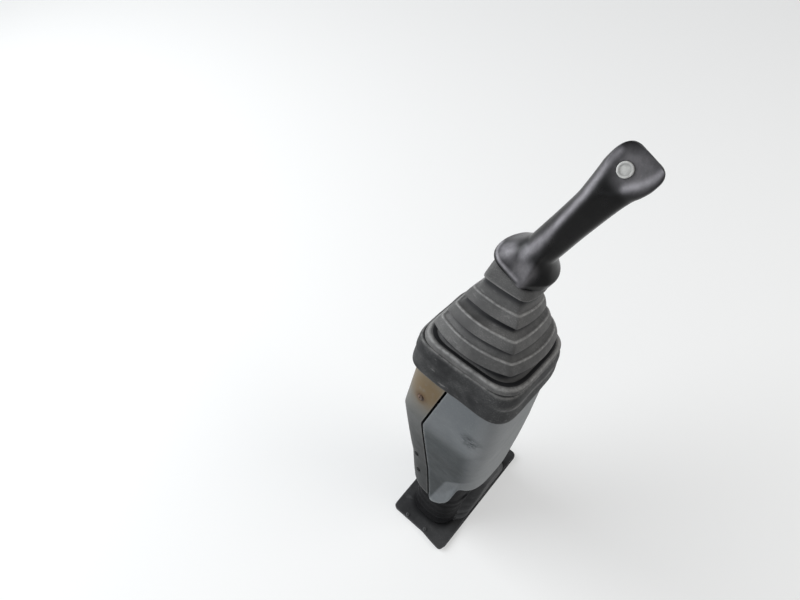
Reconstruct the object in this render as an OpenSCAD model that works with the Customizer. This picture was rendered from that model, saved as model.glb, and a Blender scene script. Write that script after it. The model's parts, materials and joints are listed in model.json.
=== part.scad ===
// Backhoe pilot control tower: a joystick with its rubber bellows on a tilting, shell-clad pedestal.
// Millimetres, +Z up, X to the operator's right, +Y away from the operator.
// The origin is the centre of the base plate's underside, on the cab floor.

/* [Base] */
// Width of the base plate and of the foot boot's flange
base_w = 110; // [100:1:130]
// Length of the base plate and of the foot boot's flange
base_l = 210; // [200:1:240]
// Thickness of the steel base plate
base_t = 5; // [4:0.5:8]
// Radius of the base plate's corners
base_corner_r = 8; // [4:1:14]
// Diameter of the floor bolt holes
floor_hole_d = 11; // [8:0.5:13]
// Distance between floor bolt holes across the base
floor_pitch_x = 70; // [64:1:76]
// Distance between floor bolt holes along the base
floor_pitch_y = 150; // [144:1:156]
// Distance from the base's front edge to the pivot pin's axis
pivot_from_front = 67; // [60:1:74]
// Height of the pivot pin's axis above the floor
pivot_z = 60; // [56:1:66]
// Thickness of a bracket cheek
cheek_t = 6; // [4:0.5:8]
// Width of a bracket cheek at its foot
cheek_w = 56; // [48:1:64]

/* [Tilt pivot] */
// Diameter of the pivot pin
pin_d = 16; // [12:1:20]
// Diameter of the pivot pin's head
pin_head_d = 24; // [22:1:28]
// Thickness of the pivot pin's head
pin_head_t = 4; // [3:0.5:6]
// Running clearance on the pin's diameter
pin_clearance = 0.2; // [0.1:0.05:0.4]
// Length of the post's barrel along the pin
barrel_l = 40; // [36:1:41]
// Wall of the post's barrel
barrel_wall = 6; // [4:0.5:8]
// Side gap between the barrel and a cheek
cheek_gap = 0.6; // [0.3:0.1:1.5]

/* [Post] */
// Lean of the tower away from the operator, in degrees
lean = 16; // [10:1:20]
// Side of the square post tube
post_side = 40; // [36:1:44]
// Wall of the square post tube
post_wall = 4; // [3:0.5:6]
// Height of the post's top flange above the pivot, along the tower
post_flange_z = 278; // [268:1:290]
// Side of the post's top flange
post_flange_side = 88; // [80:1:94]
// Thickness of the post's top flange
post_flange_t = 6; // [4:0.5:8]
// Diameter of a spacer column
spacer_d = 12; // [10:1:14]
// Distance between spacer columns, both ways
spacer_pitch = 70; // [66:1:72]

/* [Valve and plate] */
// Height of the carrier plate's underside above the pivot, along the tower
plate_z = 374.6; // [370:0.2:380]
// Thickness of the carrier plate
plate_t = 5; // [4:0.5:6]
// Side of the pilot valve's block
valve_side = 52; // [46:1:54]
// Free height below the pilot valve's block, for its ports
valve_gap = 14; // [10:1:24]

/* [Universal joint] */
// Height of the joint's centre above the carrier plate's top
joint_rise = 22; // [20:0.5:26]
// Diameter of the cross's trunnions
trunnion_d = 8; // [6:0.5:10]
// Running clearance on a trunnion's diameter
trunnion_clearance = 0.2; // [0.1:0.05:0.3]
// Side of the cross's centre block
cross_side = 16; // [14:0.5:18]
// Thickness of a yoke ear
ear_t = 5; // [4:0.5:6]
// Width of a yoke ear
ear_w = 16; // [14:0.5:18]
// Side gap between the cross and a yoke ear
ear_gap = 0.5; // [0.3:0.1:1]
// Height of the disc's underside above the joint's centre
disc_rise = 20; // [19:0.5:22]
// Diameter of the disc that works the plungers
disc_d = 50; // [44:1:54]
// Thickness of the disc
disc_t = 5; // [4:0.5:7]

/* [Lever] */
// Diameter of the lever rod
rod_d = 12; // [10:0.5:14]
// Length of the lever rod above the disc
rod_l = 132; // [124:1:134]
// Clearance of the rod's bore in the grip and the nut, on the diameter
rod_clearance = 0.2; // [0.1:0.05:0.4]
// Width across the flats of the jam nut
nut_af = 19; // [17:1:22]
// Thickness of the jam nut
nut_t = 7; // [5:0.5:9]

/* [Grip] */
// Height of the grip's foot above the pivot, along the tower
grip_z = 538.6; // [534:0.2:543]
// Sideways offset of the grip's foot from the tower's axis
grip_offset = 6; // [4:0.5:8]
// Lean of the grip to the operator's right, in degrees
grip_lean = 22; // [18:1:26]
// Length of the grip along its shaft
grip_l = 186; // [180:1:194]
// Radius of the grip's shaft at its waist
grip_waist_r = 17.5; // [17:0.5:19]
// Half width of the grip's skirt
grip_skirt_half = 36; // [34:0.5:37]
// Sideways shift of the grip's skirt, less than 0 to the left
grip_skirt_shift = -1.5; // [-2.5:0.5:1]
// Half depth of the grip's skirt
grip_skirt_deep = 31; // [30:0.5:33]
// Height of the grip's skirt
grip_skirt_h = 17; // [14:0.5:19]
// Half width of the grip's head
grip_head_half = 22; // [20.5:0.5:24]
// Radius of the thumb button
button_r = 7.25; // [6:0.25:8]
// Height of the thumb button's body
button_h = 9; // [7:0.5:11]
// Distance that the button stands above the grip's face
button_proud = 1.2; // [0.6:0.1:2]
// Depth of the bore below the button, for its travel
button_travel = 3.5; // [3:0.25:5]
// Radial clearance of the button in its bore
button_clearance = 0.3; // [0.2:0.05:0.5]
// Distance from the button's axis to the grip's top, along the shaft
button_from_top = 19.5; // [17:0.5:21.5]
// Sideways offset of the button's axis to the left
button_left = 5; // [3:0.5:6]
// Tip of the button's axis up from square to the shaft, in degrees
button_tip = 29; // [22:1:34]

/* [Rubber] */
// Wall of the rubber bellows
rubber_wall = 3; // [2:0.25:3.5]
// Gap between neighbouring rubber pieces
rubber_gap = 0.3; // [0.2:0.05:0.5]
// Half width of the bellows skirt where it clamps the housing
skirt_half = 72; // [71:0.5:74]
// Height of the bellows skirt
skirt_h = 42; // [39:1:44]
// Height that the bellows skirt hangs below the carrier plate
skirt_drop = 12; // [10:0.5:14]
// Half width of the bellows neck at its foot
neck_half = 34.5; // [33:0.5:36]
// Height of the bellows neck where it meets the grip
neck_h = 18.6; // [16:0.2:21]
// Sideways shift of the neck's foot from the tower's axis
neck_shift = 2; // [0:0.5:3]
// Distance from the flange's edge to the foot boot's wall
foot_inset = 17; // [14:0.5:17.5]
// Gap between the foot boot and the inside of the housing's lip
foot_clear = 5; // [4:0.5:8]
// Distance that the foot boot's side stands inside the housing's side edge
foot_tuck = 21; // [18:0.5:22]
// Height that the foot boot reaches up inside the housing's side edge
foot_reach = 14; // [8:1:20]
// Number of steps in the foot boot
foot_steps = 5; // [3:1:7]
// Thickness of the foot boot's flange
foot_flange_t = 3; // [2:0.5:4]

/* [Housing] */
// Wall of the housing shells
shell_wall = 3; // [2:0.25:4]
// Width of the seam between the two shells
seam_w = 1.8; // [1:0.1:2.4]
// Half width of the housing at its crease
crease_half = 72; // [70:0.5:74]
// Reach of the housing's front face at its crease
crease_front = 69; // [67:0.5:71]
// Half width of the housing at its side edge
side_half = 64; // [61:0.5:66]
// Sideways shift of the housing below its top, less than 0 to the left
housing_shift = -2; // [-3:0.5:0]
// Reach of the housing's front face at its side edge
side_front = 43; // [40:0.5:46]
// Reach of the housing's back face at its side edge
side_back = 90; // [84:0.5:94]
// Reach of the housing's front face at the apron's lip
lip_front = 35; // [33:0.5:37]
// Height of the housing's crease above the pivot, along the tower
crease_z = 262; // [256:1:270]
// Height of the housing's side edge above the pivot, along the tower
side_edge_z = 112; // [104:1:118]
// Height of the front apron's lip above the pivot, along the tower
lip_z = 27; // [24:1:34]

/* [Screws] */
// Diameter of a small screw's head
screw_head_d = 8; // [6:0.5:10]
// Diameter of a small screw's shank
screw_d = 4; // [3:0.5:5]
// Thickness of a small screw's head
screw_head_t = 2; // [1.5:0.25:3]
// Height of the rear shell's upper screw above the pivot, along the tower
upper_screw_z = 309; // [298:1:318]
// Height of the rear shell's middle screw above the pivot, along the tower
middle_screw_z = 131; // [126:1:144]
// Height of the rear shell's lower screw above the pivot, along the tower
lower_screw_z = 80; // [76:1:92]
// Distance from the flange's edge to a flange screw's axis
flange_screw_inset = 5; // [4:0.5:7]

/* [Hidden] */
$fn = 48;
ring_n = 40;
step_sq = 3.6;
neck_sq = 4.6;
skirt_sq = 4.7;

// Places worked out from the sizes above
pivot_y = -base_l / 2 + pivot_from_front;
cheek_x = barrel_l / 2 + cheek_gap;
barrel_r = pin_d / 2 + barrel_wall;
plate_top = plate_z + plate_t;
joint_z = plate_top + joint_rise;
disc_z = joint_z + disc_rise;
rod_top = disc_z + disc_t + rod_l;
ear_x = cross_side / 2 + ear_gap;
bellows_z = plate_z - skirt_drop;
skirt_inner = skirt_half - rubber_wall;
shell_top_half = skirt_inner - 1.4;
plate_half = skirt_inner - 0.6;
neck_z = grip_z - neck_h;
valve_h = plate_z - post_flange_z - post_flange_t - valve_gap;
button_along = grip_l - button_from_top;
flange_top = base_t + foot_flange_t;

// Puts its children in the tower's frame, whose origin is the middle of the pivot pin
module on_tower() {
    translate([0, pivot_y, pivot_z])
        rotate([-lean, 0, 0])
            children();
}

// Radius of a rounded square of half sizes a and b in the direction t, squarer for a higher n
function soft_r(t, a, b, n) = pow(pow(abs(cos(t)) / a, n) + pow(abs(sin(t)) / b, n), -1 / n);

// A level ring: centre [cx, cy], half sizes a and b, height z, squareness n
function ring(cx, cy, a, b, z, n) = [for (i = [0:ring_n - 1])
    let (t = 360 * (i + 0.5) / ring_n, r = soft_r(t, a, b, n))
    [cx + r * cos(t), cy + r * sin(t), z]];

// A ring across two points [y, z] of the plane x = 0, with half width a
function slant_ring(front, back, a, n) = let (
        mid = (front + back) / 2,
        half = norm(back - front) / 2,
        dir = (back - front) / norm(back - front))
    [for (i = [0:ring_n - 1])
        let (t = 360 * (i + 0.5) / ring_n, r = soft_r(t, a, half, n), s = r * sin(t))
        [r * cos(t), mid.x + s * dir.x, mid.y + s * dir.y]];

// A closed solid through rings that are listed from the bottom up
module loft(rings) {
    n = len(rings[0]);
    m = len(rings);
    sides = [for (i = [0:m - 2]) for (j = [0:n - 1])
        let (a = i * n + j, b = i * n + (j + 1) % n, c = b + n, d = a + n)
        each [[a, c, b], [a, d, c]]];
    floor_face = [[for (j = [0:n - 1]) j]];
    roof_face = [[for (j = [n - 1:-1:0]) (m - 1) * n + j]];
    polyhedron([for (r = rings) each r], concat(floor_face, sides, roof_face), convexity = 10);
}

// A closed wall between outer and inner rings, both listed from the bottom up
module hollow_loft(outer, inner) {
    rings = concat(outer, [for (i = [len(inner) - 1:-1:0]) inner[i]]);
    n = len(rings[0]);
    m = len(rings);
    faces = [for (i = [0:m - 1]) for (j = [0:n - 1])
        let (k = (i + 1) % m, a = i * n + j, b = i * n + (j + 1) % n, c = k * n + (j + 1) % n, d = k * n + j)
        each [[a, c, b], [a, d, c]]];
    polyhedron([for (r = rings) each r], faces, convexity = 10);
}

// A plate with round corners, its underside at z = 0
module round_plate(w, l, t, r) {
    linear_extrude(t)
        for (turn = [0, 1])
            square([w - 2 * r * turn, l - 2 * r * (1 - turn)], center = true);
    for (sx = [-1, 1])
        for (sy = [-1, 1])
            translate([sx * (w / 2 - r), sy * (l / 2 - r), 0])
                cylinder(h = t, r = r);
}

// Moves its children to each of the four floor bolts
module at_floor_bolts() {
    for (sx = [-1, 1])
        for (sy = [-1, 1])
            translate([sx * floor_pitch_x / 2, sy * floor_pitch_y / 2, 0])
                children();
}

module base_plate() {
    color("dimgray")
        difference() {
            round_plate(base_w, base_l, base_t, base_corner_r);
            at_floor_bolts()
                translate([0, 0, -1])
                    cylinder(h = base_t + 2, d = floor_hole_d);
        }
}

// One cheek of the pivot bracket, drawn in its own plane and centred on the pin
module cheek_outline() {
    reach = pin_head_d / 2 + 4;
    drop = pivot_z - base_t;
    circle(r = reach);
    polygon([[-cheek_w / 2, -drop], [cheek_w / 2, -drop], [reach, 0], [-reach, 0]]);
}

module pivot_bracket() {
    color("dimgray")
        for (side = [-1, 1])
            translate([side * (cheek_x + cheek_t / 2), pivot_y, pivot_z])
                rotate([90, 0, 90])
                    difference() {
                        linear_extrude(cheek_t, center = true)
                            cheek_outline();
                        cylinder(h = cheek_t + 2, d = pin_d + pin_clearance, center = true);
                    }
}

module pivot_pin() {
    color("silver")
        translate([0, pivot_y, pivot_z])
            rotate([0, 90, 0]) {
                shank = 2 * (cheek_x + cheek_t) + 1;
                cylinder(h = shank, d = pin_d, center = true);
                for (side = [0, 1])
                    mirror([0, 0, side])
                        translate([0, 0, shank / 2])
                            cylinder(h = pin_head_t, d = pin_head_d);
            }
}

module post() {
    color("dimgray")
        on_tower() {
            difference() {
                union() {
                    rotate([0, 90, 0])
                        cylinder(h = barrel_l, r = barrel_r, center = true);
                    translate([0, 0, post_flange_z / 2])
                        cube([post_side, post_side, post_flange_z], center = true);
                }
                translate([0, 0, barrel_r + post_flange_z / 2])
                    cube([post_side - 2 * post_wall, post_side - 2 * post_wall, post_flange_z],
                        center = true);
                rotate([0, 90, 0])
                    cylinder(h = barrel_l + 2, d = pin_d + pin_clearance, center = true);
            }
            translate([0, 0, post_flange_z])
                round_plate(post_flange_side, post_flange_side, post_flange_t, 6);
        }
}

module spacers() {
    color("silver")
        on_tower()
            for (sx = [-1, 1])
                for (sy = [-1, 1])
                    translate([sx * spacer_pitch / 2, sy * spacer_pitch / 2,
                        post_flange_z + post_flange_t])
                        cylinder(h = plate_z - post_flange_z - post_flange_t, d = spacer_d);
}

module carrier_plate() {
    color("gray")
        on_tower()
            translate([0, 0, plate_z])
                linear_extrude(plate_t)
                    polygon([for (q = ring(0, 0, plate_half, plate_half, 0, skirt_sq)) [q.x, q.y]]);
}

module pilot_valve() {
    color("darkgray")
        on_tower()
            translate([0, 0, plate_z - valve_h / 2])
                cube([valve_side, valve_side, valve_h], center = true);
}

// Two ears with a bore along X, standing on a foot that is drop below the bore
module ears(drop, foot_t) {
    for (side = [-1, 1])
        translate([side * (ear_x + ear_t / 2), 0, 0])
            rotate([90, 0, 90])
                difference() {
                    union() {
                        cylinder(h = ear_t, d = ear_w, center = true);
                        translate([0, -drop / 2, 0])
                            cube([ear_w, drop, ear_t], center = true);
                    }
                    cylinder(h = ear_t + 2, d = trunnion_d + trunnion_clearance, center = true);
                }
    translate([0, 0, foot_t / 2 - drop])
        cube([2 * (ear_x + ear_t), ear_w, foot_t], center = true);
}

module lower_yoke() {
    color("silver")
        on_tower()
            translate([0, 0, joint_z])
                ears(joint_rise, 4);
}

module cross() {
    color("silver")
        on_tower()
            translate([0, 0, joint_z]) {
                cube(cross_side, center = true);
                for (turn = [0, 90])
                    rotate([90, 0, turn])
                        cylinder(h = 2 * (ear_x + ear_t), d = trunnion_d, center = true);
            }
}

module disc_yoke() {
    color("silver")
        on_tower()
            translate([0, 0, joint_z]) {
                rotate([180, 0, 90])
                    ears(disc_rise, 4);
                translate([0, 0, disc_rise])
                    cylinder(h = disc_t, d = disc_d);
            }
}

module jam_nut() {
    color("goldenrod")
        on_tower()
            translate([0, 0, disc_z + disc_t])
                difference() {
                    cylinder(h = nut_t, d = nut_af / cos(30), $fn = 6);
                    translate([0, 0, -1])
                        cylinder(h = nut_t + 2, d = rod_d + rod_clearance);
                }
}

module lever_rod() {
    color("silver")
        on_tower()
            translate([0, 0, disc_z + disc_t])
                cylinder(h = rod_l, d = rod_d);
}

// Puts its children in the grip's frame, whose origin is the middle of the skirt's lower edge
module on_grip() {
    on_tower()
        translate([grip_offset, 0, grip_z])
            rotate([0, grip_lean, 0])
                children();
}

// Reach of the grip's operator side below the shaft's axis, from the waist to the top
shoulder_z = grip_l - 34;
face_slope = tan(button_tip);
function face_y(z) = -grip_waist_r + 2 + max(0, z - shoulder_z) * face_slope;

// A row of the collar: distance, inset of its sides and depth, squareness
function collar_row(z, inset, n) = [z, grip_skirt_half - inset, grip_skirt_deep - inset, 0, n, 0,
    grip_skirt_shift];

// A row of the head between the operator side and the back
function head_row(z, half, back, n, dish) = let (front = face_y(z))
    [z, half, (back - front) / 2, (back + front) / 2, n, dish, 0];

// Columns: distance along the grip, half width, half depth, shift in depth, squareness, dish,
// sideways shift
grip_table = [
    collar_row(0, 1.2, 3),
    collar_row(2.5, 0, 2.9),
    collar_row(grip_skirt_h - 6, 0.2, 2.8),
    collar_row(grip_skirt_h, 2, 2.7),
    collar_row(grip_skirt_h + 4, 5.5, 2.6),
    [grip_skirt_h + 8, grip_waist_r + 7, grip_waist_r + 6, 0, 2.5, 0, grip_skirt_shift],
    [grip_skirt_h + 13, grip_waist_r + 2.6, grip_waist_r + 3, 0, 2.4, 0, 0],
    [grip_skirt_h + 22, grip_waist_r + 0.8, grip_waist_r + 1.4, 0, 2.3, 0, 0],
    [grip_skirt_h + 36, grip_waist_r + 0.3, grip_waist_r + 0.5, 0, 2.1, 0, 0],
    [80, grip_waist_r, grip_waist_r, 0, 2.1, 0, 0],
    [110, grip_waist_r + 0.6, grip_waist_r, 0, 2.2, 0, 0],
    [shoulder_z - 17, grip_waist_r + 2, grip_waist_r - 0.4, 0, 2.4, 0, 0],
    head_row(shoulder_z, grip_head_half - 0.8, grip_waist_r - 1.5, 2.6, 0.04),
    head_row(grip_l - 20, grip_head_half, grip_waist_r - 5, 2.8, 0.08),
    head_row(grip_l - 11, grip_head_half - 0.2, grip_waist_r - 7, 2.8, 0.06),
    head_row(grip_l - 4, grip_head_half - 2, grip_waist_r - 8, 2.7, 0),
    head_row(grip_l, grip_head_half - 6.5, grip_waist_r - 10.5, 2.5, 0)];

// One section of the grip, dished on the operator's side
function grip_ring(row) = [for (i = [0:ring_n - 1])
    let (t = 360 * (i + 0.5) / ring_n,
        r = soft_r(t, row[1], row[2], row[4]),
        dent = 1 - row[5] * max(0, -sin(t)) ^ 6)
    [row[6] + r * cos(t), row[3] + r * sin(t) * dent, row[0]]];

// Puts its children on the grip's face under the button, with +Z out of the face
module at_button() {
    on_grip()
        translate([-button_left, face_y(button_along), button_along])
            rotate([90 - button_tip, 0, 0])
                children();
}

module grip() {
    color("#1c1c1e")
        difference() {
            on_grip()
                loft([for (row = grip_table) grip_ring(row)]);
            on_tower()
                translate([0, 0, grip_z - 30])
                    cylinder(h = rod_top - grip_z + 30 + rod_clearance / 2, d = rod_d + rod_clearance);
            at_button()
                translate([0, 0, button_proud - button_h - button_travel])
                    cylinder(h = button_h + 30, r = button_r + button_clearance);
        }
}

module thumb_button() {
    color("#9a9c9c")
        at_button()
            translate([0, 0, button_proud - button_h])
                cylinder(h = button_h, r = button_r);
}

// Columns: share of the skirt's height, share of its half width
skirt_rows = [[0, 1], [0.05, 1.005], [0.6, 0.985], [0.86, 0.975], [0.96, 0.968], [1, 0.95]];

// Columns: share of the way from the skirt to the neck in height, and in half width
lower_table = [[0, 0.093], [0.036, 0.08], [0.096, 0.133], [0.114, 0.2], [0.218, 0.307],
    [0.283, 0.307], [0.3, 0.12], [0.407, 0.267], [0.42, 0.32], [0.513, 0.507]];
upper_table = [[0.513, 0.507], [0.54, 0.333], [0.652, 0.453], [0.665, 0.52], [0.713, 0.92],
    [0.735, 0.773], [0.835, 0.888], [0.93, 1.093], [1, 1.11]];

// A row of height, half width and sideways shift for a row of shares
function bellows_row(row, lift) = let (low = bellows_z + skirt_h + rubber_gap)
    [low + (neck_z - low) * row[0] + lift,
        skirt_half + (neck_half - skirt_half) * row[1],
        neck_shift * row[1] ^ 2];

lower_rows = [for (row = lower_table) bellows_row(row, 0)];
upper_rows = [for (i = [0:len(upper_table) - 1])
    bellows_row(upper_table[i], i == 0 ? rubber_gap : 0)];

// The rings through rows of height, half width and sideways shift, drawn in by inset
function step_rings(rows, inset) = [for (row = rows)
    ring(row[2], 0, row[1] - inset, row[1] - inset, row[0], step_sq)];

// A hollow rubber sleeve through rows of height, half width and sideways shift
module sleeve(rows) {
    hollow_loft(step_rings(rows, 0), step_rings(rows, rubber_wall));
}

// Columns: share of the way up the neck, share of its half width
neck_table = [[0, 1], [0.12, 1], [0.5, 0.93], [0.85, 0.86], [1, 0.82]];

// A ring of the neck at the share p of its height, turning from level to square with the grip
function neck_ring(p, half) = let (
        low = [neck_shift, neck_z + rubber_gap],
        high = [grip_offset - rubber_gap * sin(grip_lean), grip_z - rubber_gap * cos(grip_lean)],
        mid = low + (high - low) * p,
        turn = grip_lean * p)
    [for (q = ring(0, 0, half, half, 0, neck_sq))
        [mid.x + q.x * cos(turn), q.y, mid.y - q.x * sin(turn)]];

module bellows_neck() {
    color("#2e2f31")
        on_tower()
            hollow_loft([for (row = neck_table) neck_ring(row[0], neck_half * row[1])],
                [for (row = neck_table) neck_ring(row[0], neck_half * row[1] - rubber_wall)]);
}

module bellows_upper() {
    color("#38393b")
        on_tower()
            sleeve(upper_rows);
}

module bellows_lower() {
    color("#38393b")
        on_tower()
            sleeve(lower_rows);
}

// The same for the skirt's inside
skirt_inner_rows = [[0, 1], [0.84, 1], [0.92, 0.95], [1, 0.93]];

function skirt_rings(rows, half) = [for (row = rows)
    ring(0, 0, half * row[1], half * row[1], bellows_z + skirt_h * row[0], skirt_sq)];

module bellows_skirt() {
    color("#2a2b2d")
        on_tower()
            hollow_loft(skirt_rings(skirt_rows, skirt_half), skirt_rings(skirt_inner_rows, skirt_inner));
}

// Columns: height above the pivot, half width, front depth, back depth, squareness, sideways shift
housing_table = [
    [lip_z - 12, side_half - 8, -lip_front + 1.2, side_back + 4, 2.6, housing_shift],
    [side_edge_z, side_half, -side_front, side_back, 3.4, housing_shift],
    [crease_z, crease_half, -crease_front, crease_half - 6, 6, housing_shift],
    [plate_z - 0.6, shell_top_half, -shell_top_half, shell_top_half, skirt_sq, 0]];

function housing_rings(inset, over) = [for (i = [0:len(housing_table) - 1]) let (
        row = housing_table[i],
        ends = i == 0 ? -over : i == len(housing_table) - 1 ? over : 0)
    ring(row[5], (row[2] + row[3]) / 2, row[1] - inset, (row[3] - row[2]) / 2 - inset, row[0] + ends,
        row[4])];

// The whole housing as one hollow shell, open at both ends and trimmed along its lower edge
module housing() {
    difference() {
        loft(housing_rings(0, 0));
        loft(housing_rings(shell_wall, 1));
        rotate([90, 0, 90])
            linear_extrude(2 * crease_half + 20, center = true)
                polygon([[-90, lip_z - 30], [-90, lip_z], [-lip_front, lip_z], [8 - lip_front, lip_z + 8],
                    [15 - lip_front, side_edge_z - 8], [21 - lip_front, side_edge_z],
                    [side_back + 40, side_edge_z], [side_back + 40, lip_z - 30]]);
        rotate([90, 0, 0])
            linear_extrude(4 * crease_half, center = true)
                polygon([[0, lip_z - 30], [0, lip_z], [18, lip_z + 14], [31, lip_z + 42],
                    [39, side_edge_z - 8], [46, side_edge_z], [side_half + 20, side_edge_z],
                    [side_half + 20, lip_z - 30]]);
    }
}

// Sideways place of the front seam at the height z, from the lip up
seam_line = [[-5, lip_z - 20], [-5, lip_z], [-30.5, crease_z - 4], [-10, plate_z - 25],
    [-3, plate_z + 4]];

// The space on the right of the seam, moved right by half the seam's width when gap is 1
module right_of_seam(gap) {
    far = crease_half + 20;
    translate([gap * seam_w / 2, 0, 0])
        rotate([90, 0, 0])
            linear_extrude(4 * crease_half, center = true)
                polygon(concat(seam_line, [[far, plate_z + 4], [far, lip_z - 20]]));
}

module front_shell() {
    color("#7f8889")
        on_tower()
            intersection() {
                housing();
                right_of_seam(1);
            }
}

module rear_shell() {
    color("#a49d8d")
        on_tower()
            difference() {
                housing();
                right_of_seam(-1);
                at_shell_screws()
                    translate([0, 0, -shell_wall - 8])
                        cylinder(h = shell_wall + 16, d = screw_d + 0.6);
            }
}

// Value of one column of the housing's table at the height z
function housing_at(column, z) = lookup(z, [for (row = housing_table) [row[0], row[column]]]);

// Distance of the housing's face from its middle line at the height z, in the direction t
function housing_r(t, z) = soft_r(t, housing_at(1, z), (housing_at(3, z) - housing_at(2, z)) / 2,
    housing_at(4, z));

// Direction that the housing's face looks in at the height z, in the direction t from its middle
function housing_facing(t, z) = let (
        a = housing_at(1, z),
        b = (housing_at(3, z) - housing_at(2, z)) / 2,
        n = housing_at(4, z),
        r = soft_r(t, a, b, n))
    atan2(sign(sin(t)) * pow(abs(r * sin(t)) / b, n - 1) / b,
        sign(cos(t)) * pow(abs(r * cos(t)) / a, n - 1) / a);

// Columns: height above the pivot, direction from the housing's middle line
shell_screw_table = [[upper_screw_z, -121], [middle_screw_z, -120], [lower_screw_z, -116]];

// Puts its children at each shell screw, with +Z out of the housing's face
module at_shell_screws() {
    for (row = shell_screw_table) {
        r = housing_r(row[1], row[0]);
        mid = (housing_at(2, row[0]) + housing_at(3, row[0])) / 2;
        facing = housing_facing(row[1], row[0]);
        slope = atan(housing_r(row[1], row[0] + 1) - housing_r(row[1], row[0]));
        translate([housing_at(5, row[0]) + r * cos(row[1]), mid + r * sin(row[1]), row[0]])
            rotate([0, 90 + slope, facing])
                children();
    }
}

module shell_screws() {
    color("saddlebrown")
        on_tower()
            at_shell_screws() {
                translate([0, 0, 0.1])
                    cylinder(h = screw_head_t, d = screw_head_d);
                translate([0, 0, -shell_wall - 6])
                    cylinder(h = shell_wall + 6.2, d = screw_d);
            }
}

// A point [y, z] at the depth v and the height w of the tower's frame
function tower_yz(v, w) = [pivot_y + v * cos(lean) + w * sin(lean),
    pivot_z + w * cos(lean) - v * sin(lean)];

// The foot boot at its flange, at the apron's lip and at its top: front, back, half width, squareness
foot_low = [[-base_l / 2 + foot_inset, flange_top + rubber_gap],
    [base_l / 2 - foot_inset, flange_top + rubber_gap], base_w / 2 - foot_inset, 3.6];
foot_mid = [tower_yz(shell_wall + foot_clear - lip_front, lip_z - 1),
    tower_yz(side_back - foot_clear, lip_z + 4 * foot_clear), side_half - foot_tuck, 3];
foot_top = [tower_yz(shell_wall + 2 * foot_clear - side_front, side_edge_z + foot_reach),
    tower_yz(side_back - 2 * foot_clear, side_edge_z + foot_reach),
    side_half - foot_tuck + rubber_wall, 2.8];

// Mixed ring between the foot boot's low and mid rings, with plan share p and height share h
function foot_ring(p, h, inset) = let (
        front = [foot_low[0].x * (1 - p) + foot_mid[0].x * p + inset,
            foot_low[0].y * (1 - h) + foot_mid[0].y * h],
        back = [foot_low[1].x * (1 - p) + foot_mid[1].x * p - inset,
            foot_low[1].y * (1 - h) + foot_mid[1].y * h])
    slant_ring(front, back, foot_low[2] * (1 - p) + foot_mid[2] * p - inset,
        foot_low[3] * (1 - p) + foot_mid[3] * p);

// The foot boot's rings from its flange up, drawn in by inset
function foot_rings(inset) = concat(
    [foot_ring(0, 0, inset)],
    [for (i = [0:foot_steps - 1]) each [
        foot_ring(i / foot_steps, (i + 0.75) / foot_steps, inset),
        foot_ring((i + 1) / foot_steps, (i + 1) / foot_steps, inset)]],
    [slant_ring(foot_top[0] + [inset, 0], foot_top[1] - [inset, 0], foot_top[2] - inset, foot_top[3])]);

module foot_boot() {
    color("#303033")
        hollow_loft(foot_rings(0), foot_rings(rubber_wall));
}

module foot_flange() {
    color("#303033")
        translate([0, 0, base_t])
            difference() {
                round_plate(base_w, base_l, foot_flange_t, base_corner_r);
                loft([for (z = [-1, foot_flange_t + 1])
                    ring(0, 0, foot_low[2] - rubber_wall, base_l / 2 - foot_inset - rubber_wall, z,
                        foot_low[3])]);
            }
}

// Columns: sideways place, place along the base
flange_screw_table = [[-26, 1], [12, 1], [-26, -1], [12, -1]];

module flange_screws() {
    color("gray")
        for (row = flange_screw_table)
            translate([row[0], row[1] * (flange_screw_inset - base_l / 2), flange_top])
                cylinder(h = screw_head_t, d = screw_head_d * 0.8);
}

base_plate();
pivot_bracket();
foot_boot();
foot_flange();
flange_screws();
pivot_pin();
post();
spacers();
carrier_plate();
pilot_valve();
lower_yoke();
cross();
disc_yoke();
jam_nut();
lever_rod();
grip();
thumb_button();
bellows_neck();
bellows_upper();
bellows_lower();
bellows_skirt();
front_shell();
rear_shell();
shell_screws();
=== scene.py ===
"""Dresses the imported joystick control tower: rubber bellows, button grip, housing shells and foot boot.

Sizes are in millimetres in the leaning tower's own frame unless a name says otherwise. They turn into
metres in the row frame through TowerFrame and GripFrame.
"""

import json
import logging
import math
from bisect import bisect_right
from collections.abc import Iterable, Sequence
from dataclasses import dataclass, field
from enum import Enum

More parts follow.
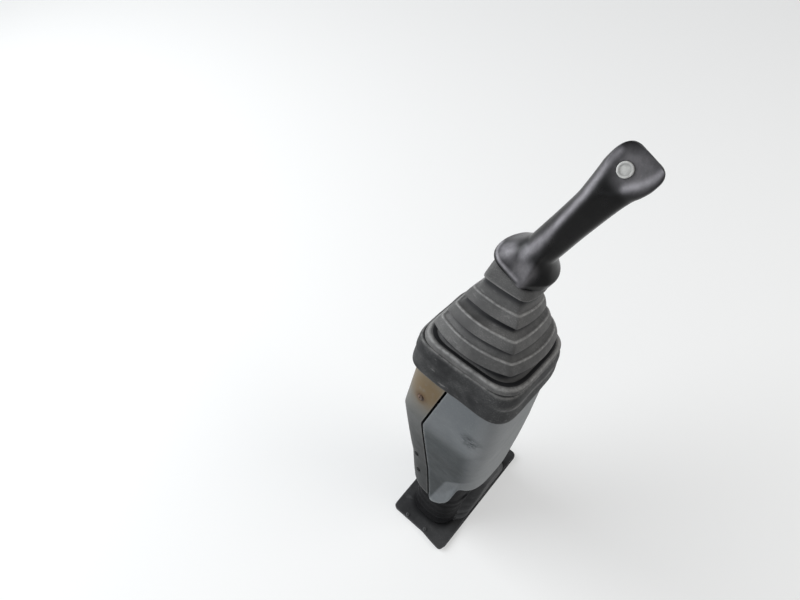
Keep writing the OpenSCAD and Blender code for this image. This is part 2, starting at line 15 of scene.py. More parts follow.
import bmesh
import bpy
from mathutils import Matrix, Vector, noise
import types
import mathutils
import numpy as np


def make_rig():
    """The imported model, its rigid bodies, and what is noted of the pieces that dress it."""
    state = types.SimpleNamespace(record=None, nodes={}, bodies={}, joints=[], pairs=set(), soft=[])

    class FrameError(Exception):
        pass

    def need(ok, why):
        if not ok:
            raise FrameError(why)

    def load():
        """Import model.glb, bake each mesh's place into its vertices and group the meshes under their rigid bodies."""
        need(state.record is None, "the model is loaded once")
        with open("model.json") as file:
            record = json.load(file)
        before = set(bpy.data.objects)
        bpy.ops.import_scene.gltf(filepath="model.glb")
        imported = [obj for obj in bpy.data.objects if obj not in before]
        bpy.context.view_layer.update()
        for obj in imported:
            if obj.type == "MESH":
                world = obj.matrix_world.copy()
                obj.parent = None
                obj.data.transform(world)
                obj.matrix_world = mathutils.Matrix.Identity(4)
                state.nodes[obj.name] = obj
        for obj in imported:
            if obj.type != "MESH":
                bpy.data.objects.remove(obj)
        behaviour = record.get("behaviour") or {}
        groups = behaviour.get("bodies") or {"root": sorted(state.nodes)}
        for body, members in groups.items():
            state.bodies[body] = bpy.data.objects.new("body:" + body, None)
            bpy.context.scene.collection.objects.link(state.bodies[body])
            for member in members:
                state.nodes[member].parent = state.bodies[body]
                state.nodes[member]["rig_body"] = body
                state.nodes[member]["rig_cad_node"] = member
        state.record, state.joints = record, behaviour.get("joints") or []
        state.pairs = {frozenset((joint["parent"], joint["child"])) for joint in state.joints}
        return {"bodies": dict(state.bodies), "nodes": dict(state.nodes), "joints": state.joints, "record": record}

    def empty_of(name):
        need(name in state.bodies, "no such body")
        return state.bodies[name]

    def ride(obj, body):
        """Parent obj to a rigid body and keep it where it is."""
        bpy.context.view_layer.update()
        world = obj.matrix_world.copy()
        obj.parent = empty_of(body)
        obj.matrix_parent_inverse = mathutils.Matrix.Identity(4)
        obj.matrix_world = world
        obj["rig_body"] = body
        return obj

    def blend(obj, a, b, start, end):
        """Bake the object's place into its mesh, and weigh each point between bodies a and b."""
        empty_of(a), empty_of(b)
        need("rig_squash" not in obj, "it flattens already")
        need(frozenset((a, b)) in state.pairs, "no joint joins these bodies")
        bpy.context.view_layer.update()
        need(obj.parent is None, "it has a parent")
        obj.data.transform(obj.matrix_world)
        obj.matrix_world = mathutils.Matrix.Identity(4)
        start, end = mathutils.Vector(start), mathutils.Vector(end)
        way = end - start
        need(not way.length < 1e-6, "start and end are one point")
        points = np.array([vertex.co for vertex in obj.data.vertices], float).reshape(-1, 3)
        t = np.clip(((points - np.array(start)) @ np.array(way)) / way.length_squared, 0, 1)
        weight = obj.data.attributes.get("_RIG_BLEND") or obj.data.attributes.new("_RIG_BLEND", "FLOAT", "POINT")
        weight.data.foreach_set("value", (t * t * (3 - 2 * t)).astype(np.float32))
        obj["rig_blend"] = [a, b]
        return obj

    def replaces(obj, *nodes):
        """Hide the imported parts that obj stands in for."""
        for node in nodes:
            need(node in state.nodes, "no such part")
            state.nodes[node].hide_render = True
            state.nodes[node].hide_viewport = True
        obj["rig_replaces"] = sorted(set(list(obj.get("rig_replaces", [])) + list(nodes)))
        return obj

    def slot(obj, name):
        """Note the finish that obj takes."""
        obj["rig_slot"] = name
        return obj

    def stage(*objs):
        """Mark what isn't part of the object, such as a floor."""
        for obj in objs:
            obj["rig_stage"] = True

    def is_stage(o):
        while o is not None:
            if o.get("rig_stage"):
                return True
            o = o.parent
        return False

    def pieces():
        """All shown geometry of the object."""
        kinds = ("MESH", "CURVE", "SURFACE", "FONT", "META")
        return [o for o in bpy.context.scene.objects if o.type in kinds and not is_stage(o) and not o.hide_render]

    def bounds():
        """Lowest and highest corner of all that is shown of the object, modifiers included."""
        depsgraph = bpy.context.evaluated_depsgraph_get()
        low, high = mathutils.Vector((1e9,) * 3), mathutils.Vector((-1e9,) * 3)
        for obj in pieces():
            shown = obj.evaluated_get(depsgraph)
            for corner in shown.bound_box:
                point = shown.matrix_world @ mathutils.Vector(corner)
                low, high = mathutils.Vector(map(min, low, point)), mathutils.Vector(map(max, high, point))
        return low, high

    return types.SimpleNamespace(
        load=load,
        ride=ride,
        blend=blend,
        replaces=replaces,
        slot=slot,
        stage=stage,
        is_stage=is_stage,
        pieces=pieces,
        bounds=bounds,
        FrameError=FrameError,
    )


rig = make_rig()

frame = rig.load()
CAD_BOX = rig.bounds()

LOG = logging.getLogger("tower")
MM = 0.001
SIZE_FILE = "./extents.json"
NOISE_SEED = 7

# An outline, a colour, a place or direction, and a spot's middle, radius and soft edge
Plan = list[tuple[float, float]]
Colour = tuple[float, float, float]
Place = tuple[float, float, float]
Blot = tuple[Place, float, float]


class Body(str, Enum):
    """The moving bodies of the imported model."""

    BASE = "base"
    TOWER = "tower"
    GIMBAL = "gimbal"
    LEVER = "lever"
    BUTTON = "button"


class Slot(str, Enum):
    """The record's material slots that new pieces take their finish from."""

    BRIGHT = "steel_bright"
    BOOT = "boot_rubber"
    FOOT = "foot_rubber"
    GRIP = "grip_plastic"
    BUTTON = "button_plastic"
    GREY = "shell_grey"
    BEIGE = "shell_beige"
    RUST = "rusty_steel"


class Half(Enum):
    """The two shells of the housing."""

    FRONT = "front_shell"
    REAR = "rear_shell"


# -------- places and curves


@dataclass(frozen=True)
class TowerFrame:
    """The leaning tower's frame, whose origin is the middle of the pivot pin."""

    lean: float = math.radians(16.0)
    pivot_y: float = -38.0
    pivot_z: float = 60.0

    def point(self, x: float, depth: float, height: float) -> Vector:
        """The row-frame point, in metres, of a place given along the tower's own axes.

        Args:
            x: Distance to the operator's right.
            depth: Distance away from the operator, square to the tower.
            height: Distance above the pivot, along the tower.

        Returns:
            The point in metres.
        """
        c, s = math.cos(self.lean), math.sin(self.lean)
        return MM * Vector(
            (x, self.pivot_y + depth * c + height * s, self.pivot_z + height * c - depth * s)
        )


@dataclass(frozen=True)
class GripFrame:
    """The grip's frame, whose origin is the middle of the collar's lower edge."""

    tower: TowerFrame = TowerFrame()
    offset: float = 6.0
    foot: float = 538.6
    lean: float = math.radians(22.0)

    def point(self, x: float, depth: float, along: float) -> Vector:
        """The row-frame point, in metres, of a place given along the grip's own axes."""
        c, s = math.cos(self.lean), math.sin(self.lean)
        return self.tower.point(self.offset + x * c + along * s, depth, self.foot - x * s + along * c)


class Curve:
    """A smooth curve through rows of a table, which never swings past its own points."""

    def __init__(self, rows: Sequence[Sequence[float]], column: int = 1) -> None:
        """Works out the slopes at each row.

        Args:
            rows: Rows whose first column rises.
            column: The column that the curve follows.
        """
        self.x = [row[0] for row in rows]
        self.y = [row[column] for row in rows]
        steps = [
            (self.y[i + 1] - self.y[i]) / (self.x[i + 1] - self.x[i]) for i in range(len(rows) - 1)
        ]
        self.slope = [steps[0]]
        for a, b in zip(steps, steps[1:]):
            self.slope.append(0.0 if a * b <= 0 else 2 * a * b / (a + b))
        self.slope.append(steps[-1])

    def __call__(self, x: float) -> float:
        """The curve's value at x, held level outside its ends.

        Args:
            x: Where to read the curve.

        Returns:
            The value.
        """
        x = min(max(x, self.x[0]), self.x[-1])
        i = min(max(bisect_right(self.x, x) - 1, 0), len(self.x) - 2)
        h = self.x[i + 1] - self.x[i]
        u = (x - self.x[i]) / h
        return (
            self.y[i] * (1 + 2 * u) * (1 - u) ** 2
            + self.y[i + 1] * (3 - 2 * u) * u * u
            + h * self.slope[i] * u * (1 - u) ** 2
            - h * self.slope[i + 1] * u * u * (1 - u)
        )


def straight(rows: Sequence[Sequence[float]], x: float, column: int = 1) -> float:
    """The value at x on straight lines between rows, held level outside their ends.

    Args:
        rows: Rows whose first column rises.
        x: Where to read the lines.
        column: The column that the lines follow.

    Returns:
        The value.
    """
    if x <= rows[0][0]:
        return rows[0][column]
    for low, high in zip(rows, rows[1:]):
        if x <= high[0]:
            return low[column] + (high[column] - low[column]) * (x - low[0]) / (high[0] - low[0])
    return rows[-1][column]


def ease(x: float, start: float, end: float) -> float:
    """Rises smoothly from 0 at start to 1 at end."""
    u = min(max((x - start) / (end - start), 0.0), 1.0)
    return u * u * (3 - 2 * u)


def hump(x: float, middle: float, width: float) -> float:
    """A soft bump of height 1 round the middle."""
    return math.exp(-(((x - middle) / width) ** 2))


def degrees_from(start: float, turn: float) -> float:
    """The angle in degrees, from -180 to 180, from the start (in degrees) to the turn."""
    return (math.degrees(turn) - start + 180.0) % 360.0 - 180.0


def beside(path: Sequence[Sequence[float]], spot: Vector) -> float:
    """Distance from a point to a bent line.

    Args:
        path: The line's points.
        spot: The point.

    Returns:
        The shortest distance, in the units of the points.
    """
    best = math.inf
    for a, b in zip(path, path[1:]):
        start, way = Vector(a), Vector(b) - Vector(a)
        share = min(max((spot - start).dot(way) / way.length_squared, 0.0), 1.0)
        best = min(best, (spot - start - share * way).length)
    return best


def soft_rect(half_x: float, half_y: float, corner: float, bow: float = 0.0) -> Plan:
    """A rectangle with round corners as an even list of points, counterclockwise.

    Args:
        half_x: Half of the size along x.
        half_y: Half of the size along y.
        corner: Radius of the corners.
        bow: How far the middle of each side stands proud.

    Returns:
        The points of the outline.
    """
    corner_steps, side_steps = 7, 11
    points: Plan = []
    for quarter in range(4):
        sx = 1 if quarter in (0, 3) else -1
        sy = 1 if quarter < 2 else -1
        cx, cy = sx * (half_x - corner), sy * (half_y - corner)
        for k in range(corner_steps + 1):
            a = math.radians(90 * quarter + 90 * k / corner_steps)
            points.append((cx + corner * math.cos(a), cy + corner * math.sin(a)))
        end = points[-1]
        nx = (-sx if quarter % 2 == 0 else sx) * (half_x - corner)
        ny = (sy if quarter % 2 == 0 else -sy) * (half_y - corner)
        out = math.radians(90 * (quarter + 1))
        start = (nx + corner * math.cos(out), ny + corner * math.sin(out))
        for k in range(1, side_steps + 1):
            u = k / (side_steps + 1)
            lift = bow * 4 * u * (1 - u)
            points.append(
                (
                    end[0] + (start[0] - end[0]) * u + lift * math.cos(out),
                    end[1] + (start[1] - end[1]) * u + lift * math.sin(out),
                )
            )
    return points


def bowed(box: Sequence[float], bows: Sequence[float], radii: Sequence[float]) -> Plan:
    """A four-cornered outline with bowed sides and a rounding of its own at each corner.

    Args:
        box: Reach of the corners to the left, right, front and back.
        bows: How far the middles of the front, right, back and left sides stand proud.
        radii: Length of the rounding at the corners left front, right front, right back, left back.

    Returns:
        The points of the outline, counterclockwise from the right back corner.
    """
    side_points, corner_steps, probe = 14, 6, 0.01
    left, right, front, back = box
    corners = [(right, back), (-left, back), (-left, -front), (right, -front)]
    normals = [(0, 1), (-1, 0), (0, -1), (1, 0)]
    lifts = [bows[2], bows[3], bows[0], bows[1]]
    soft = [radii[2], radii[3], radii[0], radii[1]]
    length = [left + right, front + back, left + right, front + back]

    def on_side(i: int, u: float) -> Vector:
        """The point on a side.

        Args:
            i: The side's number.
            u: Share of the way along it.

        Returns:
            The point.
        """
        a, b, n = corners[i], corners[(i + 1) % 4], normals[i]
        lift = lifts[i] * 4 * u * (1 - u)
        return Vector((a[0] + (b[0] - a[0]) * u + lift * n[0], a[1] + (b[1] - a[1]) * u + lift * n[1]))

    points: Plan = []
    for i in range(4):
        first, last = soft[i] / length[i], 1 - soft[(i + 1) % 4] / length[i]
        for k in range(side_points):
            spot = on_side(i, first + (last - first) * k / (side_points - 1))
            points.append((spot.x, spot.y))
        j = (i + 1) % 4
        following = soft[j] / length[j]
        start, end = on_side(i, last), on_side(j, following)
        before, after = on_side(i, last - probe), on_side(j, following + probe)
        way, turn = start - before, after - end
        cross = way.x * turn.y - way.y * turn.x
        gap = end - start
        control = start + way * ((gap.x * turn.y - gap.y * turn.x) / cross)
        for k in range(1, corner_steps):
            u = k / corner_steps
            spot = start * (1 - u) ** 2 + control * (2 * u * (1 - u)) + end * u * u
            points.append((spot.x, spot.y))
    return points


def soft_radius(turn: float, half_x: float, half_y: float, square: float) -> float:
    """Distance from the middle to the edge of a rounded square in the direction turn."""
    c, s = abs(math.cos(turn)) / half_x, abs(math.sin(turn)) / half_y
    return (c**square + s**square) ** (-1 / square)


# -------- meshes


class Skin:
    """A surface through rings of points, each point marked with how light it is from rubbing or a painted highlight,
    and how dark it is from grime or painted shade.
    """

    def __init__(self) -> None:
        """Starts with no rings."""
        self.rings: list[list[Vector]] = []
        self.wear_and_highlight: list[float] = []
        self.dirt_and_shade: list[float] = []

    def add(
        self, points: Iterable[Vector], wear_and_highlight: float | list[float] = 0.0, dirt_and_shade: float | list[float] = 0.0
    ) -> None:
        """Adds the next ring.

        Args:
            points: The ring's points in metres.
            wear_and_highlight: How light the ring is from 0 to 1, from rubbing or a painted highlight, for all points
                or for each.
            dirt_and_shade: How dark the ring is from 0 to 1, from grime or painted shade, for all points or for each.
        """
        ring = list(points)
        self.rings.append(ring)
        self.wear_and_highlight += wear_and_highlight if isinstance(wear_and_highlight, list) else [wear_and_highlight] * len(ring)
        self.dirt_and_shade += dirt_and_shade if isinstance(dirt_and_shade, list) else [dirt_and_shade] * len(ring)

    def ripple(self, amount: float, size: float, seed: float = 0.0) -> None:
        """Moves every point a little, smoothly over the surface, as in a real moulding.

        Args:
            amount: The largest move in millimetres.
            size: Size of the waves in millimetres.
            seed: Where in the noise the waves are taken from.
        """
        shift = Vector((seed, -seed, 2 * seed))
        for ring in self.rings:
            for point in ring:
                point += noise.noise_vector(point / (size * MM) + shift) * amount * MM

    def build(
        self,
        name: str,
        *,
        closed: bool = False,
        low_cap: bool = False,
        high_cap: bool = False,
        ring_closed: bool = True,
        subdivide: int = 1,
    ) -> bpy.types.Object:
        """Makes the object.

        Args:
            name: The piece's name.
            closed: Joins the last ring to the first one, for a hollow wall.
            low_cap: Closes the first ring with a face.
            high_cap: Closes the last ring with a face.
            ring_closed: Joins the last point of each ring to its first.
            subdivide: Levels of surface subdivision.

        Returns:
            The new object, in the scene.
        """
        count = len(self.rings[0])
        rows = len(self.rings)
        faces: list[tuple[int, ...]] = []
        for i in range(rows if closed else rows - 1):
            for j in range(count if ring_closed else count - 1):
                k = (i + 1) % rows
                a, b = i * count + j, i * count + (j + 1) % count
                faces.append((a, b, k * count + (j + 1) % count, k * count + j))
        if low_cap:
            faces.append(tuple(reversed(range(count))))
        if high_cap:
            faces.append(tuple(range((rows - 1) * count, rows * count)))
        mesh = bpy.data.meshes.new(name)
        mesh.from_pydata([p for ring in self.rings for p in ring], [], faces)
        for label, values in (("wear_and_highlight", self.wear_and_highlight), ("dirt_and_shade", self.dirt_and_shade)):
            mesh.attributes.new(label, "FLOAT", "POINT").data.foreach_set("value", values)
        mesh.shade_smooth()
        piece = bpy.data.objects.new(name, mesh)
        bpy.context.scene.collection.objects.link(piece)
        if subdivide:
            surface = piece.modifiers.new("surface", "SUBSURF")
            surface.levels = surface.render_levels = subdivide
        return piece


def settle(piece: bpy.types.Object) -> bpy.types.Object:
    """Applies the piece's modifiers, so that its mesh is final.

    Args:
        piece: The piece with its modifiers.

    Returns:
        The same piece.
    """
    bpy.context.view_layer.update()
    final = piece.evaluated_get(bpy.context.evaluated_depsgraph_get())
    mesh = bpy.data.meshes.new_from_object(final)
    old = piece.data
    mesh.name = piece.name
    piece.modifiers.clear()
    piece.data = mesh
    bpy.data.meshes.remove(old)
    return piece


def lathe(profile: Sequence[tuple[float, float]], place: Matrix, steps: int) -> Skin:
    """Turns a profile of radius and height about its own axis.

    Args:
        profile: Radius and height in millimetres, from the bottom up.
        place: Where the piece sits, in metres.
        steps: Points in each ring.

    Returns:
        The skin of the turned piece.
    """
    skin = Skin()
    for radius, height in profile:
        ring = []
        for k in range(steps):
            a = math.tau * k / steps
            ring.append(place @ (MM * Vector((radius * math.cos(a), radius * math.sin(a), height))))
        skin.add(ring)
    return skin


def facing(origin: Vector, outward: Vector) -> Matrix:
    """A place at origin whose Z axis points outward."""
    return Matrix.Translation(origin) @ outward.to_track_quat("Z", "Y").to_matrix().to_4x4()


def cut(piece: bpy.types.Object, tool: bpy.types.Object) -> None:
    """Cuts the tool's shape out of the piece and removes the tool.

    Args:
        piece: The piece that is cut.
        tool: The solid that is taken out of it.
    """
    change = piece.modifiers.new("cut", "BOOLEAN")
    change.operation = "DIFFERENCE"
    change.solver = "EXACT"
    change.object = tool
    settle(piece)
    bpy.data.objects.remove(tool)


# -------- finishes


class Nodes:
    """Short words for the shader nodes that the finishes and the sky are made of."""

    def __init__(self, owner: bpy.types.ID, surface: str, out: str, place: str) -> None:
        """Starts the nodes with one for the surface, which feeds the output.

        Args:
            owner: The material or the world.
            surface: The surface node's type.
            out: The output node's type.
            place: Which coordinates the nodes use.
        """
        owner.use_nodes = True
        self.tree = owner.node_tree
        self.tree.nodes.clear()
        self.surface = self.tree.nodes.new(surface)
        self.plug(self.tree.nodes.new(out).inputs[0], self.surface.outputs[0])
        self.place = self.tree.nodes.new("ShaderNodeTexCoord").outputs[place]

    def plug(self, socket: bpy.types.NodeSocket, value: object) -> None:
        """Links a socket to the input, or sets it to a number or a colour.

        Args:
            socket: The input.
            value: A socket, a number or a colour.
        """
        if isinstance(value, bpy.types.NodeSocket):
            self.tree.links.new(value, socket)
        elif isinstance(value, tuple):
            socket.default_value = (*value, 1.0) if len(value) == 3 and socket.type == "RGBA" else value
        else:
            socket.default_value = value

    def set(self, **inputs: object) -> None:
        """Sets inputs of the surface node, with underscores for the spaces in their names."""
        for label, value in inputs.items():
            self.plug(self.surface.inputs[label.replace("_", " ")], value)

    def maths(self, operation: str, a: object, b: object) -> bpy.types.NodeSocket:
        """One step of arithmetic.

        Args:
            operation: The math node's name for it.
            a: The first value.
            b: The second value.

        Returns:
            The result.
        """
        node = self.tree.nodes.new("ShaderNodeMath")
        node.operation = operation
        self.plug(node.inputs[0], a)
        self.plug(node.inputs[1], b)
        return node.outputs[0]

    def times(self, a: object, b: object) -> bpy.types.NodeSocket:
        """The product of two values."""
        return self.maths("MULTIPLY", a, b)

    def plus(self, a: object, b: object) -> bpy.types.NodeSocket:
        """The sum of two values."""
        return self.maths("ADD", a, b)

    def larger(self, a: object, b: object) -> bpy.types.NodeSocket:
        """The larger one of two values."""
        return self.maths("MAXIMUM", a, b)

    def noise(
        self, size: float, detail: float, rough: float, stretch: tuple[float, float, float] = (1.0, 1.0, 1.0)
    ) -> bpy.types.NodeSocket:
        """Cloudy noise.

        Args:
            size: Size of its blots in millimetres.
            detail: Number of finer layers.
            rough: Strength of the finer layers.
            stretch: Scale along each axis, for streaks.

        Returns:
            The noise from 0 to 1.
        """
        place = self.place
        if stretch != (1.0, 1.0, 1.0):
            mapping = self.tree.nodes.new("ShaderNodeMapping")
            mapping.inputs["Scale"].default_value = stretch
            self.tree.links.new(self.place, mapping.inputs["Vector"])
            place = mapping.outputs[0]
        node = self.tree.nodes.new("ShaderNodeTexNoise")
        self.tree.links.new(place, node.inputs["Vector"])
        node.inputs["Scale"].default_value = 1000.0 / size
        node.inputs["Detail"].default_value = detail
        node.inputs["Roughness"].default_value = rough
        return node.outputs["Fac"]

    def fade(self, value: object, start: float, end: float) -> bpy.types.NodeSocket:
        """Rises smoothly from 0 where the value is start to 1 where it is end.

        Args:
            value: The value that is faded.
            start: Where the result is 0.
            end: Where the result is 1, above or below the start.

        Returns:
            The result from 0 to 1.
        """
        node = self.tree.nodes.new("ShaderNodeMapRange")
        node.interpolation_type = "SMOOTHSTEP"
        self.plug(node.inputs["Value"], value)
        low, high = (start, end) if start < end else (end, start)
        node.inputs["From Min"].default_value = low
        node.inputs["From Max"].default_value = high
        node.inputs["To Min"].default_value = 0.0 if start < end else 1.0
        node.inputs["To Max"].default_value = 1.0 if start < end else 0.0
        return node.outputs[0]

    def mark(self, label: str) -> bpy.types.NodeSocket:
        """A value stored at the mesh's points.

        Args:
            label: Which value, wear or dirt.

        Returns:
            The value.
        """
        node = self.tree.nodes.new("ShaderNodeAttribute")
        node.attribute_name = label
        return node.outputs["Fac"]

    def along(self, axis: Vector, start: Vector, end: Vector) -> bpy.types.NodeSocket:
        """Rises from 0 at the start point to 1 at the end point, measured along the axis.

        Args:
            axis: The direction of the measure.
            start: Where the result is 0, in metres.
            end: Where the result is 1, in metres.

        Returns:
            The result from 0 to 1.
        """
        node = self.tree.nodes.new("ShaderNodeVectorMath")
        node.operation = "DOT_PRODUCT"
        self.tree.links.new(self.place, node.inputs[0])
        node.inputs[1].default_value = axis
        return self.fade(node.outputs["Value"], axis.dot(start), axis.dot(end))

    def spot(self, axes: TowerFrame | GripFrame, blot: Blot) -> bpy.types.NodeSocket:
        """A round spot that is 1 inside.

        Args:
            axes: The frame that its middle is given in.
            blot: Its middle, its radius and the width of its soft edge.

        Returns:
            The spot from 0 to 1.
        """
        middle, radius, soft = blot
        node = self.tree.nodes.new("ShaderNodeVectorMath")
        node.operation = "DISTANCE"
        self.tree.links.new(self.place, node.inputs[0])
        node.inputs[1].default_value = axes.point(*middle)
        return self.fade(node.outputs["Value"], (radius + soft) * MM, max(radius - soft, 0.0) * MM)

    def mix(self, factor: object, a: object, b: object) -> bpy.types.NodeSocket:
        """Mixes two colours.

        Args:
            factor: The share of the second one.
            a: The first colour.
            b: The second colour.

        Returns:
            The mixed colour.
        """
        node = self.tree.nodes.new("ShaderNodeMix")
        node.data_type = "RGBA"
        self.plug(node.inputs[0], factor)
        self.plug(node.inputs[6], a)
        self.plug(node.inputs[7], b)
        return node.outputs[2]

    def bump(self, height: object, depth: float, under: object = None) -> bpy.types.NodeSocket:
        """Turns a height from 0 to 1 into relief.

        Args:
            height: The height.
            depth: How deep the relief is, in millimetres.
            under: Coarser relief that this one lies on.

        Returns:
            The surface's direction.
        """
        node = self.tree.nodes.new("ShaderNodeBump")
        node.inputs["Strength"].default_value = 1.0
        node.inputs["Distance"].default_value = depth * MM
        self.plug(node.inputs["Height"], height)
        if under is not None:
            self.tree.links.new(under, node.inputs["Normal"])
        return node.outputs[0]


class Shader(Nodes):
    """A material with a principled shader and the piece's own coordinates."""

    def __init__(self, name: str) -> None:
        """Starts the material with that name."""
        self.material = bpy.data.materials.new(name)
        super().__init__(self.material, "ShaderNodeBsdfPrincipled", "ShaderNodeOutputMaterial", "Object")


@dataclass(frozen=True)
class RubberFinish:
    """Matte moulded rubber with dust on its faces, light lips partly rubbed and partly a painted highlight, and
    painted shade in its grooves.
    """

    name: str
    base: Colour
    worn_and_highlight: Colour
    dust: Colour
    # The tone of the painted shade in grooves, undercuts and insides
    deep: Colour = (0.008, 0.008, 0.009)
    dusty: float = 0.5
    scuffs: float = 0.3
    rough: float = 0.48
    sheen: float = 0.35

    def material(self) -> bpy.types.Material:
        """Makes the material.

        Returns:
            The material.
        """
        s = Shader(self.name)
        cloud = s.noise(38.0, 4.0, 0.6)
        speck = s.noise(1.1, 3.0, 0.75)
        scratch = s.noise(9.0, 4.0, 0.75, (0.35, 1.0, 1.6))
        colour = s.mix(s.fade(cloud, 0.3, 0.75), self.base, self.dust)
        dust = s.times(s.fade(speck, 0.5, 0.72), s.fade(cloud, 0.35, 0.65))
        colour = s.mix(s.times(dust, self.dusty), colour, self.worn_and_highlight)
        scuff = s.times(s.fade(scratch, 0.6, 0.72), self.scuffs)
        colour = s.mix(scuff, colour, self.worn_and_highlight)
        # Painted shade where the mesh marks grooves, undercuts and insides dark
        colour = s.mix(s.fade(s.mark("dirt_and_shade"), 0.0, 1.0), colour, self.deep)
        # Light lips and edges where the mesh marks them, partly rubbed rubber and partly a painted highlight, such as
        # the glint along the skirt's right side
        worn_and_highlight = s.plus(s.times(s.fade(s.noise(6.0, 4.0, 0.7), 0.3, 0.7), 0.6), 0.3)
        colour = s.mix(s.times(s.fade(s.mark("wear_and_highlight"), 0.1, 1.0), worn_and_highlight), colour, self.worn_and_highlight)
        relief = s.bump(s.noise(0.9, 2.0, 0.6), 0.08)
        relief = s.bump(s.noise(3.2, 3.0, 0.6), 0.16, relief)
        relief = s.bump(s.noise(14.0, 3.0, 0.5), 0.5, relief)
        s.set(Base_Color=colour, Normal=relief, Specular_IOR_Level=self.sheen)
        s.set(Roughness=s.plus(s.times(cloud, 0.25), self.rough))
        return s.material


@dataclass(frozen=True)
class GripFinish:
    """Satin black plastic with fine scratches and dust, a thumb pad lightened partly by dust and partly by a painted
    sheen, and painted highlights and reflections on its ridge, hook and collar.
    """

    name: str = "grip_satin_plastic"
    place: GripFrame = GripFrame()
    base: Colour = (0.0035, 0.0034, 0.0035)
    dust: Colour = (0.009, 0.0085, 0.008)
    # A grey for the dusty pad and the painted reflections, and a paler tone for the painted highlights
    dust_and_sheen: Colour = (0.2, 0.192, 0.2)
    bright: Colour = (0.3, 0.288, 0.305)
    specks: Colour = (0.16, 0.15, 0.14)
    # Middle in the grip's frame, radius and width of the soft edge, for the thumb pad's dust and painted sheen and for
    # the painted reflections on the collar's facet, top and left lobe
    pad: Blot = ((1.0, -8.0, 174.0), 17.0, 11.0)
    facet: Blot = ((3.0, -21.0, 14.0), 11.0, 9.0)
    collar: Blot = ((-15.0, 3.0, 12.0), 14.0, 12.0)
    lobe: Blot = ((-20.0, -19.0, 13.0), 7.0, 10.0)

    def material(self) -> bpy.types.Material:
        """Makes the material.

        Returns:
            The material.
        """
        s = Shader(self.name)
        cloud = s.noise(30.0, 4.0, 0.6)
        streak = s.noise(9.0, 4.0, 0.65, (1.0, 1.0, 0.3))
        speck = s.fade(s.noise(1.3, 2.0, 0.8), 0.66, 0.8)
        colour = s.mix(s.fade(cloud, 0.45, 0.8), self.base, self.dust)
        # The thumb pad is lightened partly by dust and partly by a painted sheen; the facet and collar spots are
        # painted reflections
        pad = s.spot(self.place, self.pad)
        facet = s.spot(self.place, self.facet)
        patchy = s.plus(s.times(s.fade(streak, 0.3, 0.7), 0.35), 0.65)
        collar = s.spot(self.place, self.collar)
        soft = s.larger(s.times(pad, 0.85), facet)
        soft = s.larger(soft, s.times(collar, 0.75))
        colour = s.mix(s.times(soft, patchy), colour, self.dust_and_sheen)
        # Painted highlights along the ridge, on the hook and along the collar's lip, and a painted reflection on the
        # collar's left lobe
        shine = s.larger(s.mark("wear_and_highlight"), s.spot(self.place, self.lobe))
        colour = s.mix(s.times(shine, patchy), colour, self.bright)
        colour = s.mix(s.times(speck, 0.2), colour, self.specks)
        smear = s.noise(12.0, 4.0, 0.7, (1.0, 1.0, 0.35))
        rough = s.plus(s.times(smear, 0.2), 0.2)
        rough = s.plus(rough, s.times(pad, 0.15))
        relief = s.bump(s.noise(0.7, 2.0, 0.6), 0.018)
        relief = s.bump(s.noise(22.0, 2.0, 0.5), 0.2, relief)
        s.set(Base_Color=colour, Roughness=rough, Normal=relief, Specular_IOR_Level=0.16)
        return s.material


@dataclass(frozen=True)
class ButtonFinish:
    """Light grey plastic, rubbed bright in the middle and dirty round its edge."""

    name: str = "button_worn_plastic"
    base: Colour = (0.43, 0.425, 0.41)
    rubbed: Colour = (0.58, 0.575, 0.55)
    grime: Colour = (0.07, 0.068, 0.062)

    def material(self) -> bpy.types.Material:
        """Makes the material.

        Returns:
            The material.
        """
        s = Shader(self.name)
        cloud = s.noise(3.5, 4.0, 0.7)
        colour = s.mix(s.fade(cloud, 0.3, 0.7), self.base, self.rubbed)
        colour = s.mix(s.mark("dirt_and_shade"), colour, self.grime)
        relief = s.bump(s.noise(0.6, 2.0, 0.6), 0.03)
        s.set(Base_Color=colour, Roughness=0.55, Normal=relief)
        return s.material


